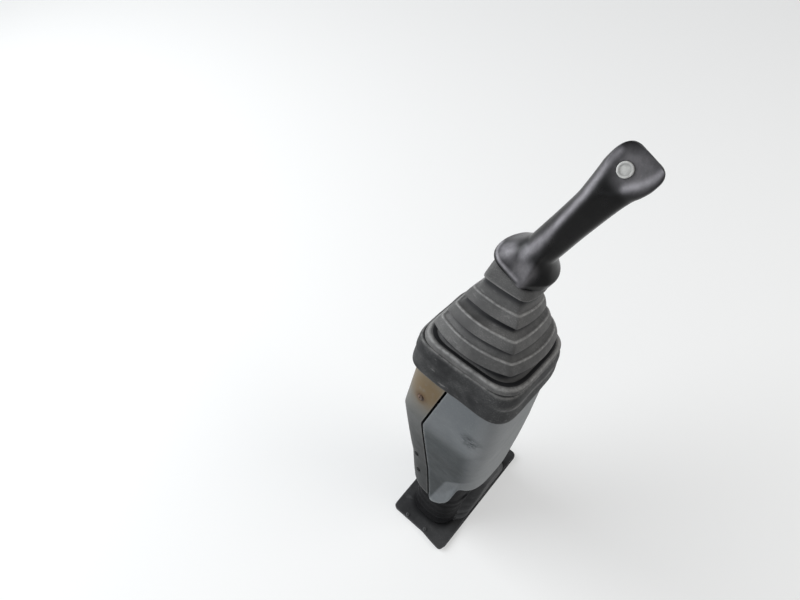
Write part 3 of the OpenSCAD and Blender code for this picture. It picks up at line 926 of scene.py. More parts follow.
@dataclass(frozen=True)
class ShellFinish:
    """Textured grey moulded plastic with a dusty bloom and scuffs, edges lightened partly by rubbing and partly by a
    painted highlight, and painted light and shade on its faces.
    """

    name: str
    base: Colour
    bloom: Colour
    # The dark tone of the painted shade, which also darkens a smudge and fine flecks
    shade: Colour
    worn_and_highlight: Colour
    # A paler tone, painted light toward the shell's far right side
    far: Colour = (0.23, 0.235, 0.236)
    grime: Colour = (0.012, 0.012, 0.012)
    # Strengths of the painted light on the right side and on the near corner's lip
    side_light: float = 1.0
    lip_light: float = 0.9
    # Sideways places and heights between which a tone fades in: the painted light on the right side and on its far
    # edge, the painted light toward the top over the painted shade below, and the top's tint
    side_from: float = 33.0
    side_to: float = 64.0
    far_from: float = 34.0
    far_to: float = 62.0
    fade_low: float = 228.0
    fade_high: float = 278.0
    tint_low: float = 250.0
    tint_high: float = 330.0
    # The near corner's lip, painted lighter than the painted shade round it: the slopes of its two borders and where
    # each one fades
    lip_lean: float = 0.203
    lip_side: tuple[float, float] = (-8.0, -3.0)
    lip_fall: float = 1.35
    lip_top: tuple[float, float] = (100.0, 90.0)
    smudge: Blot = ((40.0, -62.0, 292.0), 12.0, 9.0)
    tower: TowerFrame = TowerFrame()
    stain: Colour | None = None
    top_tint: Colour | None = None
    stain_patch: Blot = ((-30.0, -64.0, 330.0), 32.0, 22.0)
    stain_halo: Blot = ((-41.0, -66.0, 308.0), 10.0, 5.0)
    stain_seat: Blot = ((-41.0, -66.0, 308.0), 5.6, 1.6)
    rust: Colour = (0.09, 0.048, 0.02)
    rust_deep: Colour = (0.02, 0.012, 0.008)

    def _rise(self, s: Shader, axis: Vector, low: float, high: float) -> bpy.types.NodeSocket:
        """A fade along an axis between two heights on the tower's middle line."""
        return s.along(axis, self.tower.point(0, 0, low), self.tower.point(0, 0, high))

    def _across(self, s: Shader, axis: Vector, start: float, end: float) -> bpy.types.NodeSocket:
        """A fade along an axis between two sideways places."""
        return s.along(axis, self.tower.point(start, 0, 0), self.tower.point(end, 0, 0))

    def _lit(self, s: Shader, up: Vector, right: Vector) -> bpy.types.NodeSocket:
        """Where the shell takes its painted light instead of its painted shade: its right side, the near corner's lip
        and its top.

        Args:
            s: The shader that is being made.
            up: The tower's axis.
            right: The direction to the operator's right.

        Returns:
            The share of the lit tone.
        """
        side = s.times(self._across(s, right, self.side_from, self.side_to), self.side_light)
        beside_seam = self._across(s, right - self.lip_lean * up, *self.lip_side)
        below_crease = self._rise(s, up - self.lip_fall * right, *self.lip_top)
        lip = s.times(s.times(beside_seam, below_crease), self.lip_light)
        upper = self._rise(s, up, self.fade_low, self.fade_high)
        return s.larger(side, s.larger(lip, upper))

    def material(self) -> bpy.types.Material:
        """Makes the material.

        Returns:
            The material.
        """
        s = Shader(self.name)
        up = (self.tower.point(0, 0, 100) - self.tower.point(0, 0, 0)).normalized()
        right = Vector((1.0, 0.0, 0.0))
        cloud = s.noise(60.0, 4.0, 0.55)
        fine = s.noise(2.2, 3.0, 0.7)
        rubbed = s.noise(16.0, 5.0, 0.7, (1.0, 0.6, 1.4))
        lit = self._lit(s, up, right)
        colour = s.mix(s.times(s.fade(cloud, 0.35, 0.7), 0.5), self.base, self.bloom)
        # Painted light: a paler tone toward the far right side
        far = self._across(s, right, self.far_from, self.far_to)
        colour = s.mix(s.times(far, 0.75), colour, self.far)
        smudge = s.times(s.spot(self.tower, self.smudge), s.fade(rubbed, 0.4, 0.62))
        colour = s.mix(smudge, colour, self.shade)
        colour = s.mix(s.times(s.fade(rubbed, 0.6, 0.75), 0.3), colour, self.bloom)
        colour = s.mix(s.times(s.fade(fine, 0.55, 0.75), 0.16), colour, self.worn_and_highlight)
        colour = s.mix(s.times(s.fade(fine, 0.45, 0.28), 0.12), colour, self.shade)
        # The painted shade: a darker copy of the plastic, shown where the shell is not painted lit
        dim = tuple(1.7 * value for value in self.shade)
        dark = s.mix(s.times(s.fade(cloud, 0.35, 0.7), 0.6), self.shade, dim)
        dark = s.mix(s.times(s.fade(fine, 0.55, 0.75), 0.05), dark, self.worn_and_highlight)
        colour = s.mix(lit, dark, colour)
        if self.top_tint is not None:
            colour = s.mix(self._rise(s, up, self.tint_low, self.tint_high), colour, self.top_tint)
        if self.stain is not None:
            colour = self._stains(s, colour)
        colour = s.mix(s.fade(s.mark("dirt_and_shade"), 0.0, 1.0), colour, self.grime)
        # A light rim along the seams and the lower edge, partly rubbing and partly a painted highlight
        edge = s.times(s.mark("wear_and_highlight"), s.fade(s.noise(9.0, 4.0, 0.7), 0.25, 0.55))
        colour = s.mix(s.times(edge, 0.3), colour, self.worn_and_highlight)
        relief = s.bump(s.noise(1.1, 2.0, 0.6), 0.07)
        relief = s.bump(s.noise(45.0, 2.0, 0.5), 0.5, relief)
        rough = s.plus(s.times(rubbed, 0.3), 0.42)
        s.set(Base_Color=colour, Roughness=rough, Normal=relief, Specular_IOR_Level=0.22)
        return s.material

    def _stains(self, s: Shader, colour: bpy.types.NodeSocket) -> bpy.types.NodeSocket:
        """Adds the brown stain round the rusty screw and its run down the shell.

        Args:
            s: The shader that is being made.
            colour: The colour under the stain.

        Returns:
            The colour with the stain.
        """
        ragged = s.noise(11.0, 5.0, 0.65)
        patch = s.times(s.spot(self.tower, self.stain_patch), s.fade(ragged, 0.12, 0.5))
        colour = s.mix(s.times(patch, 0.95), colour, self.stain)
        halo = s.times(s.spot(self.tower, self.stain_halo), s.fade(ragged, 0.2, 0.5))
        colour = s.mix(s.times(halo, 0.7), colour, self.rust)
        seat = s.spot(self.tower, self.stain_seat)
        return s.mix(s.times(seat, 0.95), colour, self.rust_deep)


@dataclass(frozen=True)
class SteelFinish:
    """Plated, painted or cast metal, with rust where the amount says so."""

    name: str
    base: Colour
    metal: float
    rough: float
    rust: float
    rust_dark: Colour = (0.04, 0.02, 0.011)
    rust_light: Colour = (0.14, 0.07, 0.035)

    def material(self) -> bpy.types.Material:
        """Makes the material.

        Returns:
            The material.
        """
        s = Shader(self.name)
        cloud = s.noise(14.0, 5.0, 0.65)
        fine = s.noise(1.2, 3.0, 0.7)
        dark = tuple(0.6 * value for value in self.base)
        colour = s.mix(s.fade(cloud, 0.3, 0.7), dark, self.base)
        rusty = s.fade(cloud, 0.78 - 0.55 * self.rust, 0.9 - 0.5 * self.rust)
        brown = s.mix(s.fade(fine, 0.35, 0.65), self.rust_dark, self.rust_light)
        colour = s.mix(rusty, colour, brown)
        metal = s.times(s.maths("SUBTRACT", 1.0, rusty), self.metal)
        rough = s.plus(s.times(cloud, 0.3), self.rough)
        relief = s.bump(fine, 0.04 + 0.1 * self.rust)
        s.set(Base_Color=colour, Roughness=rough, Metallic=metal, Normal=relief)
        return s.material


# -------- rubber on the stick


@dataclass(frozen=True)
class Row:
    """One ring of the stick's boot, which may slope down to the back."""

    height: float
    slope: float
    box: tuple[float, ...]
    bows: tuple[float, ...]
    radii: tuple[float, ...]
    wear_and_highlight: float = 0.0
    dirt_and_shade: float = 0.0

    def numbers(self) -> list[float]:
        """The ring's sizes in one list."""
        return [self.height, self.slope, *self.box, *self.bows, *self.radii]

    def toward(self, other: "Row", share: float) -> "Row":
        """A ring at a share of the way to another one."""
        n = [a + (b - a) * share for a, b in zip(self.numbers(), other.numbers())]
        return Row(n[0], n[1], tuple(n[2:6]), tuple(n[6:10]), tuple(n[10:14]))

    def moved(self, out: float, up: float = 0.0, wear_and_highlight: float = 0.0, dirt_and_shade: float = 0.0) -> "Row":
        """The ring moved out and up by some millimetres."""
        box = tuple(side + out for side in self.box)
        return Row(self.height + up, self.slope, box, self.bows, self.radii, wear_and_highlight, dirt_and_shade)

    def points(self, inset: float = 0.0) -> list[tuple[float, float, float]]:
        """The ring's points, drawn in by the inset.

        Args:
            inset: How far they are drawn in.

        Returns:
            The points as x, depth and height.
        """
        least, tighter = 2.0, 0.4
        box = tuple(side - inset for side in self.box)
        radii = tuple(max(least, radius - tighter * inset) for radius in self.radii)
        front = self.box[2]
        return [
            (x, y, self.height - self.slope * (y + front)) for x, y in bowed(box, self.bows, radii)
        ]


@dataclass(frozen=True)
class Tier:
    """One step of the bellows: a band that leans in between its lower and its upper edge."""

    low: Row
    high: Row
    undercut: float

    def rows(self) -> list[Row]:
        """The rings of the step.

        Returns:
            The rings from the groove under it up to the start of its ledge.
        """
        tall = self.high.height - self.low.height
        low, high, deep = self.low, self.high, self.undercut
        # The first rings are the groove under the band, in painted shade; the last ones are its light top lip, partly
        # rubbed and partly a painted highlight
        return [
            low.moved(-deep, -0.3 * tall, 0.0, 1.0),
            low.moved(-0.72 * deep, -0.2 * tall, 0.0, 1.0),
            low.moved(-0.25 * deep, -0.08 * tall, 0.0, 0.9),
            low.moved(-0.4, 0.0, 0.05, 0.3),
            low.toward(high, 0.07),
            low.toward(high, 0.35).moved(0.3),
            low.toward(high, 0.7).moved(0.3),
            low.toward(high, 0.9).moved(0.1, 0.0, 0.15),
            high.moved(-0.1, 0.0, 1.0),
            high.moved(-0.9, 0.5, 0.9),
            high.moved(-2.4, 0.4, 0.15),
        ]


@dataclass(frozen=True)
class StickBoot:
    """The stepped rubber boot of the stick: two sleeves, the skirt and the neck."""

    tower: TowerFrame = TowerFrame()
    grip: GripFrame = GripFrame()
    wall: float = 2.4
    tiers: tuple[Tier, ...] = (
        Tier(
            Row(439.5, 0.08, (54.0, 55.0, 57.5, 53.0), (14.5, 11.5, 9.0, 2.5), (4.0, 3.0, 20.0, 16.0)),
            Row(451.8, 0.08, (48.5, 50.0, 52.0, 48.0), (11.0, 10.5, 8.0, 2.0), (3.5, 3.0, 18.0, 14.0)),
            8.0,
        ),
        Tier(
            Row(467.4, 0.14, (43.0, 47.5, 53.0, 38.0), (8.5, 6.0, 6.0, 2.0), (3.5, 2.5, 14.0, 12.0)),
            Row(479.6, 0.14, (37.5, 43.0, 48.0, 34.0), (7.0, 5.0, 5.0, 1.5), (3.0, 2.5, 13.0, 12.0)),
            7.5,
        ),
        Tier(
            Row(489.4, 0.18, (34.5, 37.0, 40.0, 31.0), (5.0, 4.5, 3.0, 1.5), (3.5, 2.5, 10.0, 10.0)),
            Row(501.0, 0.18, (29.0, 32.0, 33.5, 28.0), (3.5, 4.5, 3.0, 1.0), (3.5, 2.5, 9.0, 9.0)),
            6.0,
        ),
    )
    neck_foot: Row = Row(520.3, 0.17, (22.5, 31.5, 31.0, 26.5), (1.6, 4.5, 2.0, 1.2), (5.0, 8.0, 11.0, 10.0))
    neck_top: Row = Row(0.0, 0.0, (25.0, 25.5, 25.5, 25.5), (1.5, 2.0, 2.0, 1.5), (9.0, 10.0, 10.0, 10.0))
    neck_sunk: float = 0.4
    # Share of the neck's height, distance out, lightness of the lip at its foot, and darkness: painted shade in the
    # grooves at both ends and inside, and a plain darkening along its face
    neck_rows: tuple[tuple[float, ...], ...] = (
        (0.03, -4.0, 0.0, 0.9),
        (0.0, -1.6, 0.1, 0.6),
        (0.01, -0.3, 0.35, 0.1),
        (0.07, 0.2, 0.55, 0.0),
        (0.2, 0.1, 0.05, 0.2),
        (0.45, 0.0, 0.0, 0.28),
        (0.7, 0.0, 0.0, 0.28),
        (0.88, 0.0, 0.0, 0.35),
        (0.97, -0.6, 0.0, 0.7),
        (1.0, -1.8, 0.0, 1.0),
        (0.985, -4.2, 0.0, 1.0),
        (0.5, -4.6, 0.0, 1.0),
        (0.06, -6.0, 0.0, 1.0),
    )
    rim_bows: tuple[float, ...] = (2.4, 2.4, 2.0, 1.6)
    rim_radii: tuple[float, ...] = (26.0, 30.0, 32.0, 28.0)
    # Height, reach to the left, right, front and back, lightness of the rolled lip from rubbing and a painted glint,
    # and painted shade under the roll and in the groove above it
    rim: tuple[tuple[float, ...], ...] = (
        (405.0, 60.0, 62.0, 62.0, 56.0, 0.0, 1.0),
        (409.0, 62.0, 65.5, 65.0, 57.0, 0.0, 1.0),
        (411.4, 63.4, 67.4, 66.8, 57.5, 0.0, 0.6),
        (413.6, 64.4, 69.0, 68.0, 58.0, 0.0, 0.15),
        (417.0, 64.0, 70.2, 68.6, 57.0, 0.0, 0.0),
        (420.0, 62.6, 69.8, 67.8, 55.5, 0.3, 0.0),
        (421.8, 61.0, 68.4, 66.4, 54.0, 1.0, 0.0),
        (422.6, 59.4, 66.6, 64.6, 52.6, 0.7, 0.0),
        (422.4, 57.6, 64.4, 62.6, 51.0, 0.1, 0.0),
        (421.6, 55.0, 61.6, 59.8, 49.0, 0.0, 0.0),
        (422.2, 52.6, 58.0, 57.0, 46.6, 0.0, 0.4),
        (425.0, 50.4, 54.6, 55.6, 45.0, 0.0, 0.9),
    )
    band_bows: tuple[float, ...] = (1.8, 1.8, 0.6, 1.2)
    band_radii: tuple[float, ...] = (26.0, 28.0, 38.0, 34.0)
    # Height of the painted highlight, a graze of light along the fold on the skirt's right side
    crest_highlight_height: float = 393.0
    # Height, half width, reach to the back, lightness of its lips from rubbing and a painted glint, and painted shade
    # at the lower edge, in the fold at the top and inside
    band: tuple[tuple[float, ...], ...] = (
        (363.6, 69.6, 69.6, 0.0, 0.5),
        (362.8, 70.6, 70.6, 0.25, 0.1),
        (363.4, 71.8, 71.8, 0.5, 0.0),
        (366.0, 72.4, 72.4, 0.15, 0.0),
        (373.0, 72.2, 72.0, 0.0, 0.0),
        (382.0, 71.4, 71.0, 0.0, 0.0),
        (388.0, 71.2, 70.0, 0.0, 0.0),
        (392.0, 71.6, 69.4, 0.0, 0.0),
        (396.0, 71.2, 68.4, 0.0, 0.0),
        (402.0, 70.4, 66.0, 0.0, 0.0),
        (406.5, 70.2, 63.6, 0.1, 0.0),
        (409.4, 69.6, 61.8, 0.4, 0.0),
        (411.2, 68.4, 60.4, 0.9, 0.0),
        (412.0, 66.8, 59.0, 0.4, 0.2),
        (411.4, 65.2, 57.6, 0.0, 0.9),
        (408.0, 64.4, 57.0, 0.0, 1.0),
        (402.0, 66.4, 62.4, 0.0, 1.0),
        (388.0, 68.6, 67.0, 0.0, 1.0),
        (374.0, 69.0, 69.0, 0.0, 1.0),
        (364.6, 69.0, 69.0, 0.0, 1.0),
    )

    def ring(self, row: Row, inset: float = 0.0) -> list[Vector]:
        """The points of one ring, drawn in by the inset."""
        return [self.tower.point(x, y, height) for x, y, height in row.points(inset)]

    def hollow(self, name: str, rows: list[Row]) -> bpy.types.Object:
        """Makes a hollow rubber sleeve.

        Args:
            name: The piece's name.
            rows: Its rings from the bottom up.

        Returns:
            The piece.
        """
        skin = Skin()
        for row in rows:
            skin.add(self.ring(row), row.wear_and_highlight, row.dirt_and_shade)
        # The inside, all in painted shade
        for row in reversed(rows):
            skin.add(self.ring(row, self.wall), 0.0, 1.0)
        skin.ripple(0.5, 34.0, 1.0)
        return settle(skin.build(name, closed=True))

    def between(self, low: Row, high: Row, dip: float, dirt_and_shade: tuple[float, ...]) -> list[Row]:
        """Rings of the hollow ledge between two steps.

        Args:
            low: The last ring of the lower step.
            high: The first ring of the upper step.
            dip: How far the ledge hangs below a straight line.
            dirt_and_shade: How dark each ring is, a painted shade that deepens toward the groove under the next step.

        Returns:
            The rings in between.
        """
        rows = []
        for k, dark in enumerate(dirt_and_shade):
            u = (k + 1) / (len(dirt_and_shade) + 1)
            rows.append(low.toward(high, u).moved(0.0, -dip * 4 * u * (1 - u), 0.0, dark))
        return rows

    def lower(self) -> bpy.types.Object:
        """The sleeve between the tower and the cross, from its rolled rim to the middle groove.

        Returns:
            The piece.
        """
        rows = []
        for height, left, right, front, back, wear_and_highlight, dirt_and_shade in self.rim:
            box = (left, right, front, back)
            rows.append(Row(height, 0.0, box, self.rim_bows, self.rim_radii, wear_and_highlight, dirt_and_shade))
        step, above = self.tiers[0].rows(), self.tiers[1]
        rows += self.between(rows[-1], step[0], 0.0, (1.0, 1.0))
        rows += step
        end = above.low.moved(-above.undercut, -0.34 * (above.high.height - above.low.height), 0.0, 1.0)
        rows += self.between(step[-1], end, 1.2, (0.0, 0.06, 0.25, 0.7, 1.0))
        rows.append(end)
        return self.hollow("bellows_lower_sleeve", rows)

    def upper(self) -> bpy.types.Object:
        """The sleeve between the cross and the lever, from the middle groove to the neck.

        Returns:
            The piece.
        """
        rows, third = self.tiers[1].rows(), self.tiers[2].rows()
        rows += self.between(rows[-1], third[0], 1.2, (0.0, 0.3, 1.0))
        rows += third
        end = self.neck_foot.moved(-3.6, 0.6, 0.0, 1.0)
        rows += self.between(third[-1], end, 2.2, (0.0, 0.1, 0.45, 1.0))
        rows.append(end)
        return self.hollow("bellows_upper_sleeve", rows)

    def skirt(self) -> bpy.types.Object:
        """The wide skirt that clamps the housing's top.

        Returns:
            The piece.
        """
        skin = Skin()
        for height, half, back, wear_and_highlight, dirt_and_shade in self.band:
            box = (half, half + 0.6, half, back)
            row = Row(height, 0.0, box, self.band_bows, self.band_radii)
            # A painted highlight along the fold on the skirt's right side
            crest_highlight = 0.9 * hump(height, self.crest_highlight_height, 3.5)
            wear_and_highlights = [
                max(wear_and_highlight, crest_highlight * ease(x, 46.0, 66.0) * (1 - ease(y, 20.0, 50.0)))
                for x, y, _ in row.points()
            ]
            skin.add(self.ring(row), wear_and_highlights, dirt_and_shade)
        skin.ripple(1.2, 36.0, 5.0)
        return settle(skin.build("bellows_skirt_band", closed=True))

    def neck_ring(self, share: float, row: Row) -> list[Vector]:
        """A ring of the neck, which turns from the bellows' slope to the grip's as it rises.

        Args:
            share: Share of the neck's height.
            row: The ring's outline.

        Returns:
            The ring's points in metres.
        """
        ring = []
        foot = self.neck_foot
        turn = self.grip.lean * share
        middle = self.grip.offset * share
        for x, y, _ in row.points():
            sink = (foot.height - foot.slope * (y + foot.box[2])) * (1 - share)
            level = sink + (self.grip.foot - self.neck_sunk) * share
            ring.append(self.tower.point(middle + x * math.cos(turn), y, level - x * math.sin(turn)))
        return ring

    def neck(self) -> bpy.types.Object:
        """The square neck under the grip, which widens downward.

        Returns:
            The piece.
        """
        skin = Skin()
        for share, out, wear_and_highlight, dirt_and_shade in self.neck_rows:
            row = self.neck_foot.toward(self.neck_top, share).moved(out)
            skin.add(self.neck_ring(share, row), wear_and_highlight, dirt_and_shade)
        skin.ripple(0.4, 30.0, 9.0)
        return settle(skin.build("bellows_neck_block", closed=True))

    def dress(self, rubber: bpy.types.Material, skirt_rubber: bpy.types.Material) -> None:
        """Builds the four pieces, gives them their rubber and ties them to what they follow.

        Args:
            rubber: The rubber of the sleeves and the neck.
            skirt_rubber: The rubber of the skirt.
        """
        lower, upper = self.lower(), self.upper()
        skirt, neck = self.skirt(), self.neck()
        for piece, finish in ((lower, rubber), (upper, rubber), (neck, rubber), (skirt, skirt_rubber)):
            piece.data.materials.append(finish)
            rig.slot(piece, Slot.BOOT.value)
        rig.replaces(lower, "bellows_lower")
        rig.replaces(upper, "bellows_upper")
        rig.replaces(skirt, "bellows_skirt")
        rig.replaces(neck, "bellows_neck")
        t = self.tower
        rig.blend(
            lower, Body.TOWER.value, Body.GIMBAL.value, t.point(0, 0, 418), t.point(0, 0, 460)
        )
        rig.blend(
            upper, Body.GIMBAL.value, Body.LEVER.value, t.point(0, 0, 464), t.point(0, 0, 510)
        )
        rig.ride(skirt, Body.TOWER.value)
        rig.ride(neck, Body.LEVER.value)
        LOG.info("stick boot: two sleeves, skirt and neck")


# -------- grip and button


@dataclass(frozen=True)
class Grip:
    """The one-piece grip with its collar, and the thumb button in its face."""

    place: GripFrame = GripFrame()
    length: float = 186.0
    steps: int = 96
    button_radius: float = 7.25
    button_gap: float = 0.3
    button_left: float = 5.0
    button_along: float = 166.5
    button_tip: float = math.radians(29.0)
    button_proud: float = 1.2
    button_height: float = 9.0
    seat_start: float = 152.0
    pad_start: float = 118.0
    pad_front: float = 15.5
    collar: tuple[tuple[float, float], ...] = (
        (-24.5, -31.0),
        (14.0, -31.0),
        (33.0, -11.0),
        (35.0, 0.0),
        (34.0, 12.0),
        (26.0, 25.0),
        (10.0, 30.5),
        (-12.0, 29.0),
        (-26.5, 18.0),
        (-32.5, 5.0),
        (-33.5, -8.0),
        (-31.5, -21.0),
    )
    collar_end: float = 37.0
    collar_mean: float = 30.0
    # Directions round the shaft in degrees, 0 to the right and -90 to the operator
    near_edge: float = -65.7
    flat_turn: float = -76.0
    edge_turns: tuple[float, float] = (-38.0, -112.0)
    # Paths, as sideways place and distance along, of the painted highlights on the shaft's ridge and on the head's
    # hook
    ridge: tuple[tuple[float, float], ...] = (
        (-7.5, 26.0),
        (-6.5, 40.0),
        (-6.5, 60.0),
        (-9.8, 99.0),
        (-12.2, 126.0),
        (-16.0, 146.0),
        (-19.0, 163.0),
        (-20.0, 172.0),
    )
    hook: tuple[tuple[float, float], ...] = ((15.5, 185.0), (16.0, 178.0), (13.0, 168.0), (6.0, 157.0))
    sections: tuple[tuple[float, ...], ...] = (
        (0.0, 18.0, 18.4, 18.6, 18.6, 2.4),
        (52.0, 17.7, 17.8, 18.0, 18.0, 2.2),
        (80.0, 17.5, 17.5, 17.5, 17.5, 2.1),
        (110.0, 17.8, 17.8, 17.3, 17.4, 2.2),
        (132.0, 20.2, 18.4, 17.0, 16.8, 2.3),
        (148.0, 22.6, 20.0, 17.4, 15.6, 2.4),
        (158.0, 24.0, 22.4, 17.6, 13.6, 2.5),
        (168.0, 24.2, 23.6, 17.6, 11.2, 2.6),
        (176.0, 23.0, 23.2, 17.0, 9.2, 2.6),
        (181.5, 20.4, 21.4, 15.2, 7.4, 2.6),
        (184.6, 16.4, 18.4, 12.4, 5.2, 2.5),
        (185.9, 11.0, 12.4, 8.0, 3.0, 2.4),
    )

    def pad(self, x: float, along: float) -> float:
        """Depth of the scooped thumb pad at a place on the grip.

        Args:
            x: Distance to the right of the shaft's axis.
            along: Distance from the collar's foot.

        Returns:
            The depth, less than 0 toward the operator.
        """
        plane = -self.pad_front + (along - self.seat_start) * math.tan(self.button_tip)
        away = math.hypot(x + 3.0, (along - self.button_along - 3.0) * 0.8)
        dish = 0.8 * hump(away, 9.0, 9.0)
        ridge = 3.6 * ease(x - 0.5 * (along - 166.0), 5.0, 17.0)
        return plane + dish - ridge

    def collar_reach(self, turn: float) -> float:
        """Distance from the shaft's axis to the collar's outline.

        Args:
            turn: Direction round the shaft.

        Returns:
            The distance.
        """
        c, s = math.cos(turn), math.sin(turn)
        for a, b in zip(self.collar, self.collar[1:] + self.collar[:1]):
            dx, dy = b[0] - a[0], b[1] - a[1]
            cross = c * dy - s * dx
            if cross <= 0:
                continue
            share = (s * a[0] - c * a[1]) / cross
            if 0.0 <= share < 1.0:
                return (a[0] + dx * share) * c + (a[1] + dy * share) * s
        return self.collar_mean

    def collar_soft(self, turn: float) -> float:
        """The collar's reach with its outline rounded off, except at its near edge.

        Args:
            turn: Direction round the shaft.

        Returns:
            The distance from the shaft's axis.
        """
        away = degrees_from(self.near_edge, turn)
        spread = math.radians(15.0) * ease(abs(away), 2.0, 40.0)
        shares = (0.12, 0.2, 0.36, 0.2, 0.12)
        return sum(w * self.collar_reach(turn + spread * (k - 2) / 2) for k, w in enumerate(shares))

    def collar_share(self, turn: float, along: float) -> tuple[float, float]:
        """How much the collar shapes the grip at a place, and how far its lip is drawn in.

        Args:
            turn: Direction round the shaft.
            along: Distance from the collar's foot.

        Returns:
            The share from 0 to 1 and the factor on the collar's reach.
        """
        degrees = degrees_from(0.0, turn)
        wall = 6.0 + 8.5 * ease(degrees, -66.0, -10.0) * (1 - ease(degrees, 130.0, 178.0))
        u = min(max((along - wall) / (self.collar_end - wall), 0.0), 1.0)
        lip = 0.965 + 0.035 * ease(along, 0.0, 1.6) - 0.012 * ease(along, 1.8, wall)
        return (1 - u) ** 1.5, lip

    def spot(self, turn: float, along: float, curves: list[Curve]) -> Vector:
        """The surface point in one direction at one place along the grip.

        Args:
            turn: Direction round the shaft, 0 to the right and -90 degrees to the operator.
            along: Distance from the collar's foot.
            curves: The grip's left, right, front and back reach and its squareness.

        Returns:
            The point in metres.
        """
        left, right, front, back, square = (curve(along) for curve in curves)
        half_x = right if math.cos(turn) > 0 else left
        half_y = back if math.sin(turn) > 0 else front
        reach = soft_radius(turn, half_x, half_y, square)
        degrees = degrees_from(0.0, turn)
        shaft = ease(along, 30.0, 60.0) * (1 - ease(along, 128.0, 152.0))
        reach -= 1.8 * shaft * hump(degrees, self.flat_turn, 24.0)
        reach += 0.9 * shaft * sum(hump(degrees, edge, 20.0) for edge in self.edge_turns)
        if along < self.collar_end:
            share, lip = self.collar_share(turn, along)
            reach += (self.collar_soft(turn) * lip - reach) * share
        ridge = ease(along, 6.0, 16.0) * (1 - ease(along, 34.0, 62.0))
        ridge_turn = self.near_edge - 8.0 * ease(along, 8.0, 44.0)
        reach += 1.6 * ridge * hump(degrees, ridge_turn, 9.0)
        x, y = reach * math.cos(turn), reach * math.sin(turn)
        if y < 0 and along > self.pad_start:
            pad = self.pad(x, along)
            blur = 3.0 + 5.0 * (1 - ease(along, 146.0, 162.0))
            blur *= ease(along, self.pad_start, self.seat_start)
            y = (y + pad + math.sqrt((y - pad) ** 2 + blur**2)) / 2
        return self.place.point(x, y, along)

    def painted_highlight(self, turn: float, along: float, x: float) -> float:
        """The painted highlight on the surface: along the ridge, on the hook, along the collar's lip and at its near
        edge.

        Args:
            turn: Direction round the shaft.
            along: Distance from the collar's foot.
            x: Distance to the right of the shaft's axis.

        Returns:
            The highlight from 0 to 1.
        """
        spot = Vector((x, along))
        degrees = degrees_from(0.0, turn)
        front = ease(-degrees, 8.0, 30.0) * ease(degrees, -176.0, -160.0)
        stripe = hump(beside(self.ridge, spot), 0.0, 5.2 - 2.2 * ease(along, 30.0, 90.0))
        hook = hump(beside(self.hook, spot), 0.0, 2.8)
        lip = hump(along, 6.6, 1.6) * ease(degrees, -176.0, -158.0) * (1 - ease(degrees, -80.0, -70.0))
        near = hump(degrees, self.near_edge, 7.0) * (1 - ease(along, 7.0, 20.0))
        return min(1.0, front * (0.85 * stripe + 0.9 * hook) + lip + 0.5 * near)

    def button_place(self) -> Matrix:
        """Where the button sits.

        Returns:
            The middle of its seat, with Z out along its press axis.
        """
        along, tip = self.button_along, self.button_tip
        depth = -self.pad_front + (along - self.seat_start) * math.tan(tip)
        origin = self.place.point(-self.button_left, depth, along)
        end = self.place.point(-self.button_left, depth - math.cos(tip), along + math.sin(tip))
        return facing(origin, (end - origin).normalized())

    def body(self) -> bpy.types.Object:
        """The grip's moulding with the button's bore.

        Returns:
            The piece.
        """
        curves = [Curve(self.sections, column) for column in range(1, 6)]
        # Close rings at the collar and the head, wide ones along the shaft
        heights = [0.0, 0.7, 1.6, 2.8, 4.4, 6.0, 7.0, 8.0, 9.6]
        heights += [11.6 + 2.1 * k for k in range(13)]
        heights += [40.0 + 5.0 * k for k in range(19)]
        heights += [135.0 + 2.2 * k for k in range(21)]
        heights += [180.5, 182.2, 183.6, 184.6, 185.4, 185.9]
        turns = [self._turn(k) for k in range(self.steps)]
        axis = self.place.point(0.0, 0.0, 0.0)
        right = self.place.point(1.0, 0.0, 0.0) - axis
        skin = Skin()
        skin.add([self._foot(turn) for turn in turns], 0.0, 1.0)
        for along in heights:
            ring = [self.spot(turn, along, curves) for turn in turns]
            across = [(spot - axis).dot(right) / right.length_squared for spot in ring]
            skin.add(ring, [self.painted_highlight(turn, along, x) for turn, x in zip(turns, across)])
        body = settle(skin.build("grip_moulding", low_cap=True, high_cap=True))
        bore = [
            (self.button_radius + self.button_gap, -12.0),
            (self.button_radius + self.button_gap, -0.4),
            (self.button_radius + 1.1, 0.7),
            (self.button_radius + 2.4, 8.0),
        ]
        tool = lathe(bore, self.button_place(), 64)
        cut(body, tool.build("bore", low_cap=True, high_cap=True, subdivide=0))
        body.data.shade_smooth()
        body.data.set_sharp_from_angle(angle=math.radians(38.0))
        return body

    def _turn(self, k: int) -> float:
        """The direction of one of the ring's points, of which one meets the collar's near edge."""
        return math.radians(self.near_edge) + math.tau * k / self.steps

    def _foot(self, turn: float) -> Vector:
        """A point of the collar's flat foot in a direction round the shaft."""
        reach = 0.86 * self.collar_reach(turn)
        return self.place.point(reach * math.cos(turn), reach * math.sin(turn), 0.05)

    def button(self) -> bpy.types.Object:
        """The thumb button: a low cap with a rim and a shallow dish.

        Returns:
            The piece.
        """
        r, top, sides = self.button_radius, self.button_proud, 48
